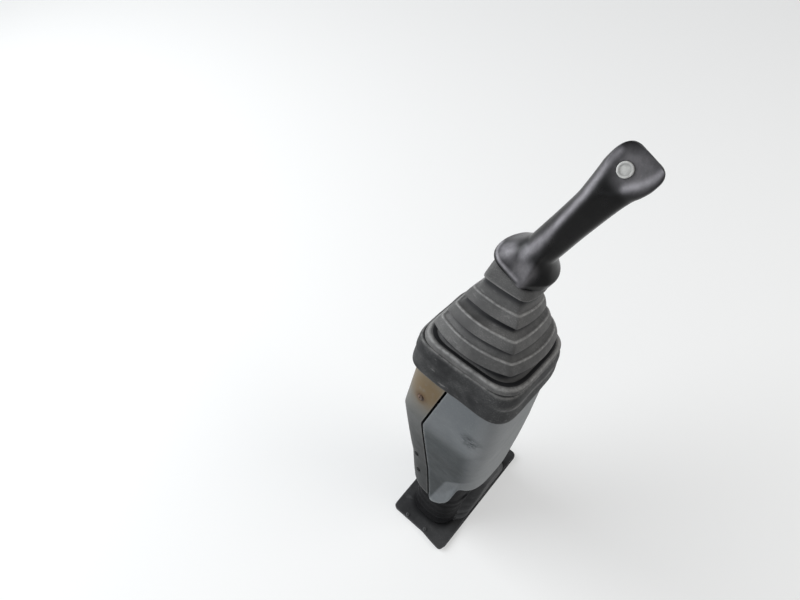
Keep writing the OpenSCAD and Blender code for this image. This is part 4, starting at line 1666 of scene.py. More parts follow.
        # Radius, height, dirt
        profile = [
            (r - 0.2, top - self.button_height, 1.0),
            (r, top - self.button_height + 0.3, 1.0),
            (r, top - 2.0, 1.0),
            (r, top - 0.9, 0.55),
            (r - 0.2, top - 0.35, 0.15),
            (r - 0.7, top - 0.05, 0.0),
            (r - 1.3, top, 0.0),
            (r - 1.9, top - 0.05, 0.15),
            (r - 2.4, top - 0.3, 0.4),
            (r - 3.6, top - 0.36, 0.1),
            (r - 5.4, top - 0.3, 0.0),
            (0.6, top - 0.26, 0.0),
        ]
        skin = lathe([row[:2] for row in profile], self.button_place(), sides)
        skin.dirt_and_shade = [row[2] for row in profile for _ in range(sides)]
        return settle(skin.build("thumb_button_cap", low_cap=True, high_cap=True))

    def dress(self, plastic: bpy.types.Material, cap: bpy.types.Material) -> None:
        """Builds the grip and its button and ties them to the lever and the button body.

        Args:
            plastic: The grip's finish.
            cap: The button's finish.
        """
        body, button = self.body(), self.button()
        body.data.materials.clear()
        body.data.materials.append(plastic)
        button.data.materials.append(cap)
        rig.slot(body, Slot.GRIP.value)
        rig.slot(button, Slot.BUTTON.value)
        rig.replaces(body, "grip")
        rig.replaces(button, "thumb_button")
        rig.ride(body, Body.LEVER.value)
        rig.ride(button, Body.BUTTON.value)
        LOG.info("grip: moulding and button")


# -------- housing


@dataclass(frozen=True)
class Housing:
    """The two shells that clad the tower, with their seam, lower edge and screws."""

    tower: TowerFrame = TowerFrame()
    wall: float = 3.0
    seam_gap: float = 3.3
    top: float = 374.0
    side_edge: float = 112.0
    columns: int = 150
    levels: int = 64
    crease: float = 262.0
    crease_round: float = 2.4
    crease_width: float = 42.0
    # Rough reach of the section, which turns a direction into a sideways place
    rough_reach: float = 60.0
    # Lightness of the columns next to a seam, and of the lower edge, partly rubbing and partly a painted highlight on
    # the rounded edge
    seam_wear_and_highlight: tuple[float, ...] = (0.5, 0.2)
    edge_wear_and_highlight: float = 0.7
    # Height and direction of each screw
    screws: tuple[tuple[float, float], ...] = ((309.0, -121.0), (131.0, -120.0), (80.0, -116.0))
    # Height, half width, front, back, squareness, sideways shift
    rows: tuple[tuple[float, ...], ...] = (
        (15.0, 56.0, -33.8, 94.0, 2.6, -2.0),
        (112.0, 64.0, -43.0, 90.0, 3.4, -2.0),
        (262.0, 72.0, -69.0, 66.0, 6.0, -2.0),
        (374.0, 67.6, -67.6, 67.6, 4.7, 0.0),
    )
    seam: tuple[tuple[float, float], ...] = (
        (7.0, -5.0),
        (27.0, -5.0),
        (102.5, -14.0),
        (176.5, -22.4),
        (251.0, -30.2),
        (257.0, -30.4),
        (263.0, -29.0),
        (349.5, -9.8),
        (378.6, -3.0),
    )
    side_profile: tuple[tuple[float, float], ...] = (
        (-90.0, 27.0),
        (-35.0, 27.0),
        (-27.0, 35.0),
        (-21.0, 106.0),
        (-15.0, 116.0),
        (-6.0, 119.0),
        (30.0, 118.0),
        (80.0, 112.0),
        (130.0, 112.0),
    )
    front_profile: tuple[tuple[float, float], ...] = (
        (-60.0, 27.0),
        (-1.0, 27.0),
        (8.0, 31.0),
        (18.0, 41.0),
        (26.0, 56.0),
        (31.0, 74.0),
        (37.0, 106.0),
        (40.0, 115.0),
        (44.0, 119.0),
        (70.0, 119.0),
    )

    def shape(self, height: float, soft: float) -> tuple[float, float, float, float, float]:
        """Half width, front, back, squareness and sideways shift at a height.

        Args:
            height: Height above the pivot.
            soft: 0 keeps the crease sharp and 1 rounds it off.

        Returns:
            The five sizes of the section.
        """
        sharp = [straight(self.rows, height, column) for column in range(1, 6)]
        round_off = soft * self.crease_round * hump(height, self.crease, self.crease_width)
        sharp[0] -= 0.4 * round_off
        sharp[1] += round_off
        sharp[2] -= 0.5 * round_off
        return sharp[0], sharp[1], sharp[2], sharp[3], sharp[4]

    def point(self, turn: float, height: float, out: float = 0.0) -> Vector:
        """A point of the shells' outer surface.

        Args:
            turn: Its direction from the section's middle.
            height: Height above the pivot.
            out: How far it stands proud.

        Returns:
            The point in metres.
        """
        sideways = self.rough_reach * math.cos(turn)
        soft = ease(sideways, -26.0, 22.0) if math.sin(turn) < 0 else 1.0
        half, front, back, square, shift = self.shape(height, soft)
        middle, deep = (front + back) / 2, (back - front) / 2
        reach = soft_radius(turn, half, deep, square) + out
        x = shift + reach * math.cos(turn)
        return self.tower.point(x, middle + reach * math.sin(turn), height)

    def turn_at_x(self, x: float, height: float, side: int) -> float:
        """The direction of the surface point at a sideways place.

        Args:
            x: The sideways place.
            height: Height above the pivot.
            side: -1 for the front and 1 for the back.

        Returns:
            The direction.
        """
        half, front, back, square, shift = self.shape(height, 0.0)
        deep = (back - front) / 2
        y = side * deep * max(0.0, 1 - abs((x - shift) / half) ** square) ** (1 / square)
        return math.atan2(y, x - shift)

    def seam_turns(self, height: float, half: Half) -> tuple[float, float]:
        """The directions of a shell's two seams.

        Args:
            height: Height above the pivot.
            half: The shell.

        Returns:
            The two directions, the smaller one first.
        """
        x = straight(self.seam, height)
        gap = self.seam_gap / 2
        if half is Half.FRONT:
            return self.turn_at_x(x + gap, height, -1), self.turn_at_x(x + gap, height, 1)
        front = self.turn_at_x(x - gap, height, -1)
        return self.turn_at_x(x - gap, height, 1), front + math.tau

    def edge_height(self, turn: float) -> float:
        """Height of the housing's lower edge in a direction, found step by step.

        Args:
            turn: The direction.

        Returns:
            The height.
        """
        height, rounds, step = self.side_edge, 12, 0.5
        for _ in range(rounds):
            half, front, back, square, shift = self.shape(height, 0.0)
            deep = (back - front) / 2
            reach = soft_radius(turn, half, deep, square)
            x = shift + reach * math.cos(turn)
            depth = (front + back) / 2 + reach * math.sin(turn)
            goal = max(straight(self.side_profile, depth), straight(self.front_profile, x))
            height += step * (goal - height)
        return height

    def edge(self, half: Half) -> list[tuple[float, float]]:
        """The lower edge of a shell as shares of the way between its seams and heights.

        Args:
            half: The shell.

        Returns:
            A share and a height for each column, evenly spaced along the edge.
        """
        samples, rounds = 900, 6
        path: list[tuple[float, float]] = []
        points: list[Vector] = []
        for k in range(samples + 1):
            share = k / samples
            height = self.side_edge
            for _ in range(rounds):
                low, high = self.seam_turns(height, half)
                height = self.edge_height(low + (high - low) * share)
            path.append((share, height))
            points.append(self.point(low + (high - low) * share, height))
        run = [0.0]
        for a, b in zip(points, points[1:]):
            run.append(run[-1] + (b - a).length)
        spaced = []
        for j in range(self.columns + 1):
            goal = run[-1] * j / self.columns
            i = min(bisect_right(run, goal), samples) - 1
            u = (goal - run[i]) / max(run[i + 1] - run[i], 1e-9)
            spaced.append(
                (
                    path[i][0] + (path[i + 1][0] - path[i][0]) * u,
                    path[i][1] + (path[i + 1][1] - path[i][1]) * u,
                )
            )
        return spaced

    def flare(self, turn: float, height: float, low: float) -> float:
        """How far the near corner's lip kicks out above the lower edge.

        Args:
            turn: Direction of the point.
            height: Height of the point.
            low: Height of the lower edge below it.

        Returns:
            The distance out.
        """
        x, tallest = self.rough_reach * math.cos(turn), 30.0
        if math.sin(turn) > 0 or height > low + tallest:
            return 0.0
        window = ease(x, -4.0, 6.0) * (1 - ease(x, 26.0, 36.0))
        reach = 16.0 + 0.5 * max(x, 0.0)
        return 6.0 * window * max(0.0, 1 - (height - low) / reach)

    def shell(self, half: Half, finish: bpy.types.Material, inside: bpy.types.Material) -> bpy.types.Object:
        """Builds one shell.

        Args:
            half: Which shell.
            finish: The finish of its outer face.
            inside: The near-black finish of its inside and its cut edges, a painted shade.

        Returns:
            The piece.
        """
        skin = Skin()
        edge = self.edge(half)
        worn_and_highlight = [*self.seam_wear_and_highlight, *[0.0] * self.columns]
        for i in range(self.levels + 1):
            up = i / self.levels
            ring, wear_and_highlight = [], []
            for j, (share_low, low) in enumerate(edge):
                height = low + (self.top - low) * up
                first, last = self.seam_turns(height, half)
                turn = first + (last - first) * (share_low + (j / self.columns - share_low) * up)
                ring.append(self.point(turn, height, self.flare(turn, height, low)))
                wear_and_highlight.append(max(worn_and_highlight[min(j, self.columns - j)], 0.0 if i else self.edge_wear_and_highlight))
            skin.add(ring, wear_and_highlight)
        piece = skin.build(half.value + "_skin", ring_closed=False, subdivide=0)
        piece.data.materials.append(finish)
        piece.data.materials.append(inside)
        walls = piece.modifiers.new("wall", "SOLIDIFY")
        walls.thickness = self.wall * MM
        walls.offset = -1.0
        walls.material_offset = walls.material_offset_rim = 1
        rim = piece.modifiers.new("rim", "BEVEL")
        rim.width = 0.7 * MM
        rim.segments = 2
        rim.limit_method = "ANGLE"
        rim.angle_limit = math.radians(50.0)
        settle(piece)
        return piece

    def screw_places(self) -> list[Matrix]:
        """Where the shell screws sit.

        Returns:
            Their places, with Z out of the shell's face.
        """
        places = []
        for height, degrees in self.screws:
            turn = math.radians(degrees)
            here = self.point(turn, height)
            across = self.point(turn + 0.02, height) - here
            up = self.point(turn, height + 2.0) - here
            places.append(facing(here, across.cross(up).normalized()))
        return places

    def dress(
        self, finishes: dict[Half, bpy.types.Material], inside: bpy.types.Material, screws: "Fasteners"
    ) -> None:
        """Builds both shells and their screws and ties them to the tower.

        Args:
            finishes: The outer finish of each shell.
            inside: The near-black finish of the insides and the cut edges, a painted shade that the low screws take
                too.
            screws: The maker of the screws.
        """
        slots = {Half.FRONT: Slot.GREY, Half.REAR: Slot.BEIGE}
        for half, finish in finishes.items():
            piece = self.shell(half, finish, inside)
            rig.slot(piece, slots[half].value)
            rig.replaces(piece, half.value)
            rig.ride(piece, Body.TOWER.value)
            LOG.info("housing: %s", half.value)
        group = screws.set_of("shell_screw_heads", self.screw_places(), 4.0, 2.0)
        group.data.materials.append(inside)
        # Screws low on the tower take the near-black inside finish, as painted shade
        painted_shade_below = 0.25
        for face in group.data.polygons:
            face.material_index = 1 if face.center.z < painted_shade_below else 0
        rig.slot(group, Slot.RUST.value)
        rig.replaces(group, "shell_screws")
        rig.ride(group, Body.TOWER.value)


# -------- foot and fasteners


@dataclass(frozen=True)
class Fasteners:
    """Small pan-head screws with a cross recess."""

    finish: bpy.types.Material
    steps: int = 24

    def set_of(self, name: str, places: list[Matrix], radius: float, rise: float) -> bpy.types.Object:
        """Makes a group of screws as one piece.

        Args:
            name: The piece's name.
            places: Where each one sits, with Z out of its seat.
            radius: Radius of a head.
            rise: Height of a head.

        Returns:
            The piece.
        """
        profile = [
            (0.55 * radius, -4.0),
            (0.55 * radius, -0.2),
            (radius, -0.1),
            (radius, 0.3 * rise),
            (0.93 * radius, 0.68 * rise),
            (0.72 * radius, 0.92 * rise),
            (0.5 * radius, rise),
        ]
        bm = bmesh.new()
        for place in places:
            heads = lathe(profile, place, self.steps)
            rings = [[bm.verts.new(p) for p in ring] for ring in heads.rings]
            for low, high in zip(rings, rings[1:]):
                for k in range(self.steps):
                    n = (k + 1) % self.steps
                    bm.faces.new((low[k], low[n], high[n], high[k]))
            bm.faces.new(list(reversed(rings[0])))
            self._recess(bm, rings[-1], place, radius, rise)
        mesh = bpy.data.meshes.new(name)
        bm.to_mesh(mesh)
        bm.free()
        mesh.shade_smooth()
        mesh.set_sharp_from_angle(angle=math.radians(40.0))
        piece = bpy.data.objects.new(name, mesh)
        bpy.context.scene.collection.objects.link(piece)
        piece.data.materials.append(self.finish)
        return piece

    def _recess(
        self, bm: bmesh.types.BMesh, rim: list, place: Matrix, radius: float, rise: float
    ) -> None:
        """Closes a head's top with a cross-shaped recess.

        Args:
            bm: The mesh that is being made.
            rim: The points of the head's top ring.
            place: Where the screw sits.
            radius: Radius of the head.
            rise: Height of the head.
        """
        arm, slot, depth = 0.42 * radius, 0.12 * radius, 0.45 * rise
        outline = []
        for quarter in range(4):
            a = math.radians(90 * quarter)
            c, s = math.cos(a), math.sin(a)
            for x, y in ((arm, -slot), (arm, slot), (slot, slot)):
                outline.append((x * c - y * s, x * s + y * c))
        top = [bm.verts.new(place @ (MM * Vector((x, y, rise)))) for x, y in outline]
        deep = [
            bm.verts.new(place @ (MM * Vector((0.7 * x, 0.7 * y, rise - depth)))) for x, y in outline
        ]
        count = len(outline)
        for k in range(count):
            n = (k + 1) % count
            bm.faces.new((top[k], top[n], deep[n], deep[k]))
        bm.faces.new(deep)
        steps = len(rim)
        for k in range(steps):
            n = (k + 1) % steps
            i, j = round(k * count / steps) % count, round((k + 1) * count / steps) % count
            if i == j:
                bm.faces.new((rim[k], rim[n], top[i]))
            else:
                bm.faces.new((rim[k], rim[n], top[j], top[i]))


@dataclass(frozen=True)
class FootBoot:
    """The stepped rubber boot round the tower's foot, and its flange on the floor."""

    tower: TowerFrame = TowerFrame()
    flange_half: tuple[float, float] = (55.0, 105.0)
    flange_low: float = 5.0
    flange_top: float = 8.0
    inset: float = 17.0
    steps: int = 5
    wall: float = 2.4
    fold_y: float = -60.0
    fold_rise: float = 60.0
    # The V crease under the housing's scoop, pressed in and darkened with painted shade
    crease_tip: tuple[float, float, float] = (42.0, -28.0, 90.0)
    crease_ends: tuple[tuple[float, float, float], ...] = ((42.2, -21.6, 135.0), (34.0, -36.0, 128.0))
    side_low: float = 52.8
    side_high: float = 57.0
    # Depth and height of the boot's front and back, at the flange and at the housing's lip
    front_low: tuple[float, float] = (-82.0, 8.3)
    front_high: tuple[float, float] = (-56.8, 92.4)
    back_low: tuple[float, float] = (88.0, 8.3)
    back_high: tuple[float, float] = (56.7, 81.7)
    # Front, back, half width and corner radius of the top, inside the housing
    front_top: tuple[float, float] = (-32.1, 189.4)
    back_top: tuple[float, float] = (73.6, 159.0)
    half_top: float = 46.0
    corner_top: float = 36.0
    # Where the boot's front, darker as painted shade, gives way to the dusty rubber of its open right side
    dusty_from: float = 36.0
    dusty_tall: float = 110.0

    def station(self, share: float, rise: float) -> tuple[Vector, Vector, float, float]:
        """One ring's front and back points (depth and height above the floor), half width and corner.

        Args:
            share: Share of the way in from the flange to the housing's lip, in plan.
            rise: Share of the way up.

        Returns:
            Front, back, half width and corner radius.
        """
        ends = []
        for low, high in ((self.front_low, self.front_high), (self.back_low, self.back_high)):
            depth = low[0] + (high[0] - low[0]) * share
            ends.append(Vector((depth, low[1] + (high[1] - low[1]) * rise)))
        return ends[0], ends[1], 38.0 + 5.0 * share, 27.0 + 9.0 * share

    def ring(self, front: Vector, back: Vector, half: float, corner: float) -> list[Vector]:
        """A slanted ring.

        Args:
            front: Depth and height of its front.
            back: Depth and height of its back.
            half: Half of its width.
            corner: Radius of its corners.

        Returns:
            The ring's points in metres.
        """
        middle, length = (front + back) / 2, (back - front).length / 2
        way = (back - front).normalized()
        ring = []
        for x, y in soft_rect(half, length, min(corner, half - 1), 0.8):
            spot = middle + way * y
            ring.append(MM * Vector((x, spot.x, spot.y)))
        return ring

    def profile(self) -> list[tuple[float, float, float, float]]:
        """The boot's steps.

        Returns:
            Share of the way in, share of the way up, lightness on a step's rubbed edge and painted shade in a step's
            inner corner, for each ring.
        """
        rows = [(0.0, 0.0, 0.0, 0.6)]
        for k in range(self.steps):
            low, high = k / self.steps, (k + 1) / self.steps
            rows += [
                (low, low + 0.55 / self.steps, 0.0, 0.0),
                (low + 0.02, low + 0.72 / self.steps, 0.7, 0.0),
                (low + 0.1, low + 0.8 / self.steps, 0.1, 0.0),
                (high - 0.03, high - 0.03 / self.steps, 0.0, 0.5),
                (high - 0.002, high, 0.0, 0.8),
            ]
        return rows

    def boot(self) -> bpy.types.Object:
        """The boot: stepped at the front, plain at its sides and back.

        Returns:
            The piece.
        """
        skin = Skin()
        # Painted shade in the inner corner of each step and in the fold before the side wall
        for share, rise, wear_and_highlight, dirt_and_shade in self.profile():
            stepped = self.ring(*self.station(share, rise))
            mean = (share + rise) / 2
            plain = self.ring(*self.station(mean, mean))
            ring, wear_and_highlights, painted_shades = [], [], []
            for a, b in zip(plain, stepped):
                weight = ease(-a.y / MM, 0.0, 45.0)
                spot = a.lerp(b, 0.75 * weight)
                side, fold = self.side_wall(spot / MM, mean)
                ring.append(MM * side)
                wear_and_highlights.append(wear_and_highlight * weight * 0.7)
                painted_shades.append(max(dirt_and_shade * weight, fold))
            skin.add(ring, wear_and_highlights, painted_shades)
        top = (Vector(self.front_top), Vector(self.back_top), self.half_top, self.corner_top)
        outer = self.ring(*self.station(1.0, 1.0))
        high = self.ring(*top)
        # Painted shade deepening upward into the housing, and in the V crease
        for share in (0.0, 0.08, 0.16, 0.25, 0.35, 0.5, 1.0):
            ring, painted_shades = [], []
            for a, b in zip(outer, high):
                side, _ = self.side_wall(a / MM, 1.0)
                spot = (MM * side).lerp(b, share)
                fold = self.crease(spot / MM)
                ring.append(spot - MM * Vector((4.0 * fold, -2.0 * fold, 0.0)))
                painted_shades.append(max(0.6 * ease(share, 0.3, 0.6), fold))
            skin.add(ring, 0.0, painted_shades)
        # The inside, in painted shade
        for station in (top, self.station(1.0, 1.0), self.station(0.0, 0.02)):
            skin.add(self.ring(*self._inset(station)), 0.0, 1.0)
        skin.ripple(0.9, 42.0, 3.0)
        return settle(skin.build("foot_boot_skin", closed=True))

    def crease(self, spot: Vector) -> float:
        """How deep a point lies in the V-shaped crease under the housing's scoop, from 0 to 1."""
        away = min(beside((self.crease_tip, end), spot) for end in self.crease_ends)
        return hump(away, 0.0, 4.5)

    def side_wall(self, spot: Vector, rise: float) -> tuple[Vector, float]:
        """Moves a point of the boot's right side out to the flange's edge.

        Args:
            spot: The point in millimetres in the row frame.
            rise: Share of the way up.

        Returns:
            The moved point, and how deep it lies in the fold before the side wall.
        """
        line = self.fold_y + self.fold_rise * rise
        share = ease(spot.x, 4.0, 34.0) * ease(spot.y, line - 4.0, line + 16.0)
        share *= 1 - ease(spot.y, 62.0, 96.0)
        goal = self.side_low + (self.side_high - self.side_low) * rise
        fold = ease(spot.x, 16.0, 30.0) * hump(spot.y, line - 2.0, 5.0) * ease(rise, 0.25, 0.6)
        x = spot.x + (goal - spot.x) * share * ease(spot.x, 0.0, 38.0) - 5.0 * fold
        return Vector((x, spot.y, spot.z)), 0.95 * fold

    def _inset(
        self, station: tuple[Vector, Vector, float, float]
    ) -> tuple[Vector, Vector, float, float]:
        """Draws a ring in by the wall.

        Args:
            station: Its front, back, half width and corner radius.

        Returns:
            The same four for the ring inside.
        """
        front, back, half, corner = station
        inward = Vector((self.wall, 0.0))
        return front + inward, back - inward, half - self.wall, corner - self.wall

    def flange(self) -> bpy.types.Object:
        """The flange on the floor, a little wavy where it isn't screwed down.

        Returns:
            The piece.
        """
        hx, hy = self.flange_half
        low, top = self.flange_low, self.flange_top
        opening = (hx - self.inset - 5.0, hy - self.inset - 13.0, 24.0)
        # Half length, half width and corner radius, then height, lightness of the rubbed top edge, and painted shade
        # under the flange, at its outer foot, next to the boot and round its opening
        rings = [
            (opening, low, 0.0, 1.0),
            ((hx - 1.0, hy - 1.0, 7.0), low, 0.0, 1.0),
            ((hx - 0.2, hy - 0.2, 7.8), low + 0.4, 0.0, 0.8),
            ((hx, hy, 8.0), low + 1.4, 0.2, 0.2),
            ((hx, hy, 8.0), top - 0.8, 0.6, 0.0),
            ((hx - 0.5, hy - 0.5, 7.5), top - 0.15, 0.8, 0.0),
            ((hx - 1.8, hy - 1.8, 7.0), top, 0.2, 0.0),
            ((hx - 6.0, hy - 6.0, 9.0), top, 0.0, 0.0),
            ((hx - self.inset + 3.0, hy - self.inset + 3.0, 22.0), top, 0.0, 0.15),
            ((hx - self.inset - 1.0, hy - self.inset - 5.0, 24.0), top, 0.0, 0.9),
            (opening, top - 0.4, 0.0, 1.0),
        ]
        skin = Skin()
        for size, height, wear_and_highlight, dirt_and_shade in rings:
            ring = []
            for x, y in soft_rect(*size):
                edge = ease(x, 40.0, 55.0) * ease(abs(y), 92.0, 70.0)
                wave = edge * (1.1 * math.sin(y / 15.0) - 1.3)
                lift = 0.9 * edge * max(0.0, math.sin(y / 15.0 + 0.8)) if height > low + 1 else 0.0
                drag = 5.0 * ease(x, 0.0, 50.0) * ease(-y, 96.0, 104.0)
                ring.append(MM * Vector((x + wave, y - drag, height + lift)))
            skin.add(ring, wear_and_highlight, dirt_and_shade)
        return settle(skin.build("foot_flange_skin", closed=True))

    def screw_places(self) -> list[Matrix]:
        """Where the flange's screws sit.

        Returns:
            Their places, with Z up.
        """
        places = []
        for side in (-1, 1):
            for x in (-26.0, 12.0):
                seat = MM * Vector((x, side * (self.flange_half[1] - 5.0), self.flange_top + 0.1))
                places.append(Matrix.Translation(seat) @ Matrix.Rotation(0.4 + x, 4, "Z"))
        return places

    def dress(self, dark: bpy.types.Material, dusty: bpy.types.Material, screws: Fasteners) -> None:
        """Builds the boot, its flange and the flange's screws and ties them to what they follow.

        Args:
            dark: The darker rubber of the boot's sheltered front, a painted shade.
            dusty: The rubber of the flange and of the boot's open side.
            screws: The maker of the screws.
        """
        boot, flange = self.boot(), self.flange()
        boot.data.materials.append(dark)
        boot.data.materials.append(dusty)
        # The boot's front takes the darker rubber as painted shade, and its open right side the dusty one
        for face in boot.data.polygons:
            rise = (face.center.z / MM - self.flange_top) / self.dusty_tall
            beyond = face.center.y / MM > self.fold_y + self.fold_rise * rise
            face.material_index = 1 if face.center.x > self.dusty_from * MM and beyond else 0
        flange.data.materials.append(dusty)
        for piece, node in ((boot, "foot_boot"), (flange, "foot_flange")):
            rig.slot(piece, Slot.FOOT.value)
            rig.replaces(piece, node)
        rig.blend(boot, Body.BASE.value, Body.TOWER.value, (0.0, -0.038, 0.03), (0.0, -0.038, 0.12))
        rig.ride(flange, Body.BASE.value)
        group = screws.set_of("flange_screw_heads", self.screw_places(), 3.2, 1.9)
        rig.slot(group, Slot.BRIGHT.value)
        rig.replaces(group, "flange_screws")
        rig.ride(group, Body.BASE.value)
        LOG.info("foot: boot, flange and screws")


# -------- inner metal


@dataclass(frozen=True)
class InnerParts:
    """The CAD solids that stay as they are, with their finishes."""

    finishes: dict[str, bpy.types.Material] = field(default_factory=dict)

    def dress(self) -> None:
        """Gives each CAD node its finish."""
        for name, finish in self.finishes.items():
            node = frame["nodes"][name]
            if not node.data.materials:
                node.data.materials.append(finish)
            for index in range(len(node.material_slots)):
                node.material_slots[index].material = finish
        LOG.info("inner parts: %d nodes", len(self.finishes))


# -------- studio


@dataclass(frozen=True)
class Lamp:
    """One large soft square lamp."""

    name: str
    place: Place
    size: float
    power: float
    tint: Colour

    def hang(self, aim: Place) -> None:
        """Hangs the lamp so that it looks at the aim.

        Args:
            aim: The place that it lights.
        """
        light = bpy.data.lights.new(self.name, "AREA")
        light.size = self.size
        light.energy = self.power
        light.color = self.tint
        lamp = bpy.data.objects.new(self.name, light)
        lamp.location = self.place
        lamp.rotation_euler = (Vector(aim) - Vector(self.place)).to_track_quat("-Z", "Y").to_euler()
        bpy.context.scene.collection.objects.link(lamp)


@dataclass(frozen=True)
class Studio:
    """The floor, the soft lights and the camera at the photograph's angle, in metres."""

    eye: Place = (0.1805, -0.2202, 1.140)
    right: Place = (0.75058, 0.65600, -0.07920)
    down: Place = (0.53996, -0.67801, -0.49874)
    ahead: Place = (-0.38088, 0.33158, -0.86313)
    focal_px: float = 632.0
    image_px: float = 800.0
    sensor: float = 36.0
    aim: Place = (0.0, 0.05, 0.45)
    lamps: tuple[Lamp, ...] = (
        Lamp("window_left", (-1.5, -0.6, 1.45), 1.6, 44.0, (0.95, 0.98, 1.0)),
        Lamp("window_right", (1.4, 1.0, 1.7), 1.2, 16.0, (1.0, 0.98, 0.94)),
    )
    floor_reach: float = 6.0
    floor_tone: Colour = (0.88, 0.88, 0.875)
    floor_shadow: float = 0.6
    floor_glow: float = 0.46
    sky: Colour = (0.93, 0.96, 1.0)
    left_level: float = 1.45
    right_level: float = 0.7
    roof_level: float = 0.13

    def camera(self) -> None:
        """Places the camera."""
        lens = bpy.data.cameras.new("camera")
        lens.sensor_width = self.sensor
        lens.lens = self.sensor * self.focal_px / self.image_px
        lens.clip_start = 0.01
        camera = bpy.data.objects.new("camera", lens)
        bpy.context.scene.collection.objects.link(camera)
        axes = Matrix((self.right, -Vector(self.down), -Vector(self.ahead))).transposed().to_4x4()
        axes.translation = Vector(self.eye)
        camera.matrix_world = axes
        bpy.context.scene.camera = camera

    def floor(self) -> None:
        """Lays the plain pale floor, which shows paler than it is lit but keeps its shadows."""
        s = Shader("floor_pale")
        cloud = s.noise(300.0, 3.0, 0.5)
        dim = tuple(0.96 * value for value in self.floor_tone)
        tone = s.mix(s.fade(cloud, 0.3, 0.7), dim, self.floor_tone)
        path = s.tree.nodes.new("ShaderNodeLightPath").outputs
        seen = s.plus(path["Is Camera Ray"], path["Is Glossy Ray"])
        seen = s.maths("MINIMUM", s.plus(seen, path["Is Transmission Ray"]), 1.0)
        shown = tuple(self.floor_shadow * value for value in self.floor_tone)
        s.set(Base_Color=s.mix(seen, tone, shown), Roughness=0.9)
        s.set(Emission_Color=self.floor_tone, Emission_Strength=s.times(seen, self.floor_glow))
        mesh = bpy.data.meshes.new("floor")
        reach = self.floor_reach
        corners = [(-reach, -reach, 0), (reach, -reach, 0), (reach, reach, 0), (-reach, reach, 0)]
        mesh.from_pydata(corners, [], [(0, 1, 2, 3)])
        mesh.materials.append(s.material)
        floor = bpy.data.objects.new("floor", mesh)
        bpy.context.scene.collection.objects.link(floor)
        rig.stage(floor)

    def world(self) -> None:
        """Makes a sky that is bright round the horizon, as through windows, and dim overhead."""
        world = bpy.data.worlds.new("sky")
        bpy.context.scene.world = world
        n = Nodes(world, "ShaderNodeBackground", "ShaderNodeOutputWorld", "Generated")
        split = n.tree.nodes.new("ShaderNodeSeparateXYZ")
        n.plug(split.inputs[0], n.place)
        rightward = n.fade(split.outputs["X"], -0.9, 0.9)
        side = n.plus(n.times(rightward, self.right_level - self.left_level), self.left_level)
        band = n.times(side, n.fade(split.outputs["Z"], 0.62, 0.12))
        n.set(Color=self.sky, Strength=n.plus(band, self.roof_level))

    def build(self) -> None:
        """Sets up the whole studio."""
        bpy.context.scene.view_settings.view_transform = "Standard"
        self.camera()
        self.floor()
        self.world()
        for lamp in self.lamps:
            lamp.hang(self.aim)
        LOG.info("studio ready")


def write_sizes() -> None:
    """Writes the CAD model's box and the visual model's box."""
    boxes = {}
    for label, corners in (("cad", CAD_BOX), ("visual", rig.bounds())):
        boxes[label] = [[float(value) for value in corner] for corner in corners]
    with open(SIZE_FILE, "w", encoding="utf-8") as out:
        json.dump(boxes, out)


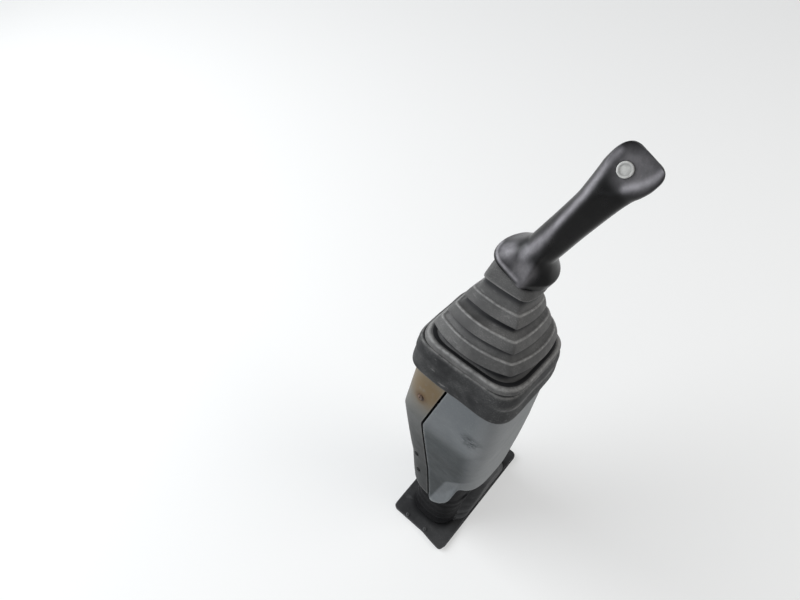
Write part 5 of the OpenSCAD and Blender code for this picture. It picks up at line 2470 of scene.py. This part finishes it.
def main() -> None:
    """Builds every sub-assembly in order, with the same ripples in each run."""
    noise.seed_set(NOISE_SEED)
    logging.basicConfig(level=logging.INFO, format="%(name)s: %(message)s")
    Studio().build()
    rubber = RubberFinish(
        "boot_matte_rubber", (0.05, 0.0485, 0.0475), (0.3, 0.294, 0.285), (0.105, 0.102, 0.099), dusty=0.4
    )
    skirt_rubber = RubberFinish(
        "skirt_dusty_rubber",
        (0.012, 0.012, 0.013),
        (0.2, 0.196, 0.19),
        (0.045, 0.045, 0.045),
        dusty=0.5,
        scuffs=0.55,
        sheen=0.16,
    )
    StickBoot().dress(rubber.material(), skirt_rubber.material())
    Grip().dress(GripFinish().material(), ButtonFinish().material())
    # The third tone of each shell is the dark tone of its painted shade; the rear shell is painted lit only toward its
    # top, so it darkens toward the bottom
    grey = ShellFinish(
        "shell_grey_plastic",
        (0.115, 0.124, 0.13),
        (0.165, 0.173, 0.177),
        (0.026, 0.03, 0.032),
        (0.4, 0.41, 0.41),
    )
    beige = ShellFinish(
        "shell_beige_plastic",
        (0.09, 0.092, 0.09),
        (0.13, 0.13, 0.124),
        (0.02, 0.021, 0.021),
        (0.36, 0.36, 0.34),
        side_light=0.0,
        lip_light=0.0,
        fade_low=150.0,
        fade_high=310.0,
        stain=(0.13, 0.088, 0.042),
        top_tint=(0.15, 0.14, 0.118),
    )
    rusty = SteelFinish("rusty_screw_steel", (0.24, 0.2, 0.17), 0.6, 0.5, 0.8)
    zinc = SteelFinish("zinc_plated_steel", (0.5, 0.5, 0.5), 1.0, 0.32, 0.12)
    # The near-black finish of the shells' insides, cut edges and low screws is painted shade
    Housing().dress(
        {Half.FRONT: grey.material(), Half.REAR: beige.material()},
        SteelFinish("shell_inside_painted_shade", (0.014, 0.014, 0.014), 0.0, 0.7, 0.05).material(),
        Fasteners(rusty.material()),
    )
    plated = zinc.material()
    # A darker copy of the foot's rubber, painted shade on the boot's sheltered front
    foot = RubberFinish(
        "foot_rubber_painted_shade", (0.0025, 0.0025, 0.003), (0.04, 0.04, 0.042), (0.007, 0.007, 0.0075), sheen=0.1
    )
    dusty = RubberFinish(
        "foot_dusty_rubber",
        (0.024, 0.024, 0.025),
        (0.1, 0.1, 0.102),
        (0.042, 0.042, 0.043),
        scuffs=0.4,
        sheen=0.2,
    )
    dull = SteelFinish("dull_zinc_steel", (0.1, 0.1, 0.102), 0.5, 0.6, 0.25)
    FootBoot().dress(foot.material(), dusty.material(), Fasteners(dull.material()))
    painted = SteelFinish("black_painted_steel", (0.035, 0.035, 0.036), 0.0, 0.4, 0.2).material()
    cast = SteelFinish("phosphated_cast_iron", (0.14, 0.14, 0.145), 0.6, 0.5, 0.15).material()
    black = ("base_plate", "pivot_bracket", "post")
    bright = ("pivot_pin", "spacers", "carrier_plate", "lower_yoke", "cross", "disc_yoke", "jam_nut")
    finishes = {name: painted for name in black}
    finishes |= {name: plated for name in (*bright, "lever_rod")}
    finishes["pilot_valve"] = cast
    InnerParts(finishes).dress()
    write_sizes()


if __name__ == "__main__":
    main()
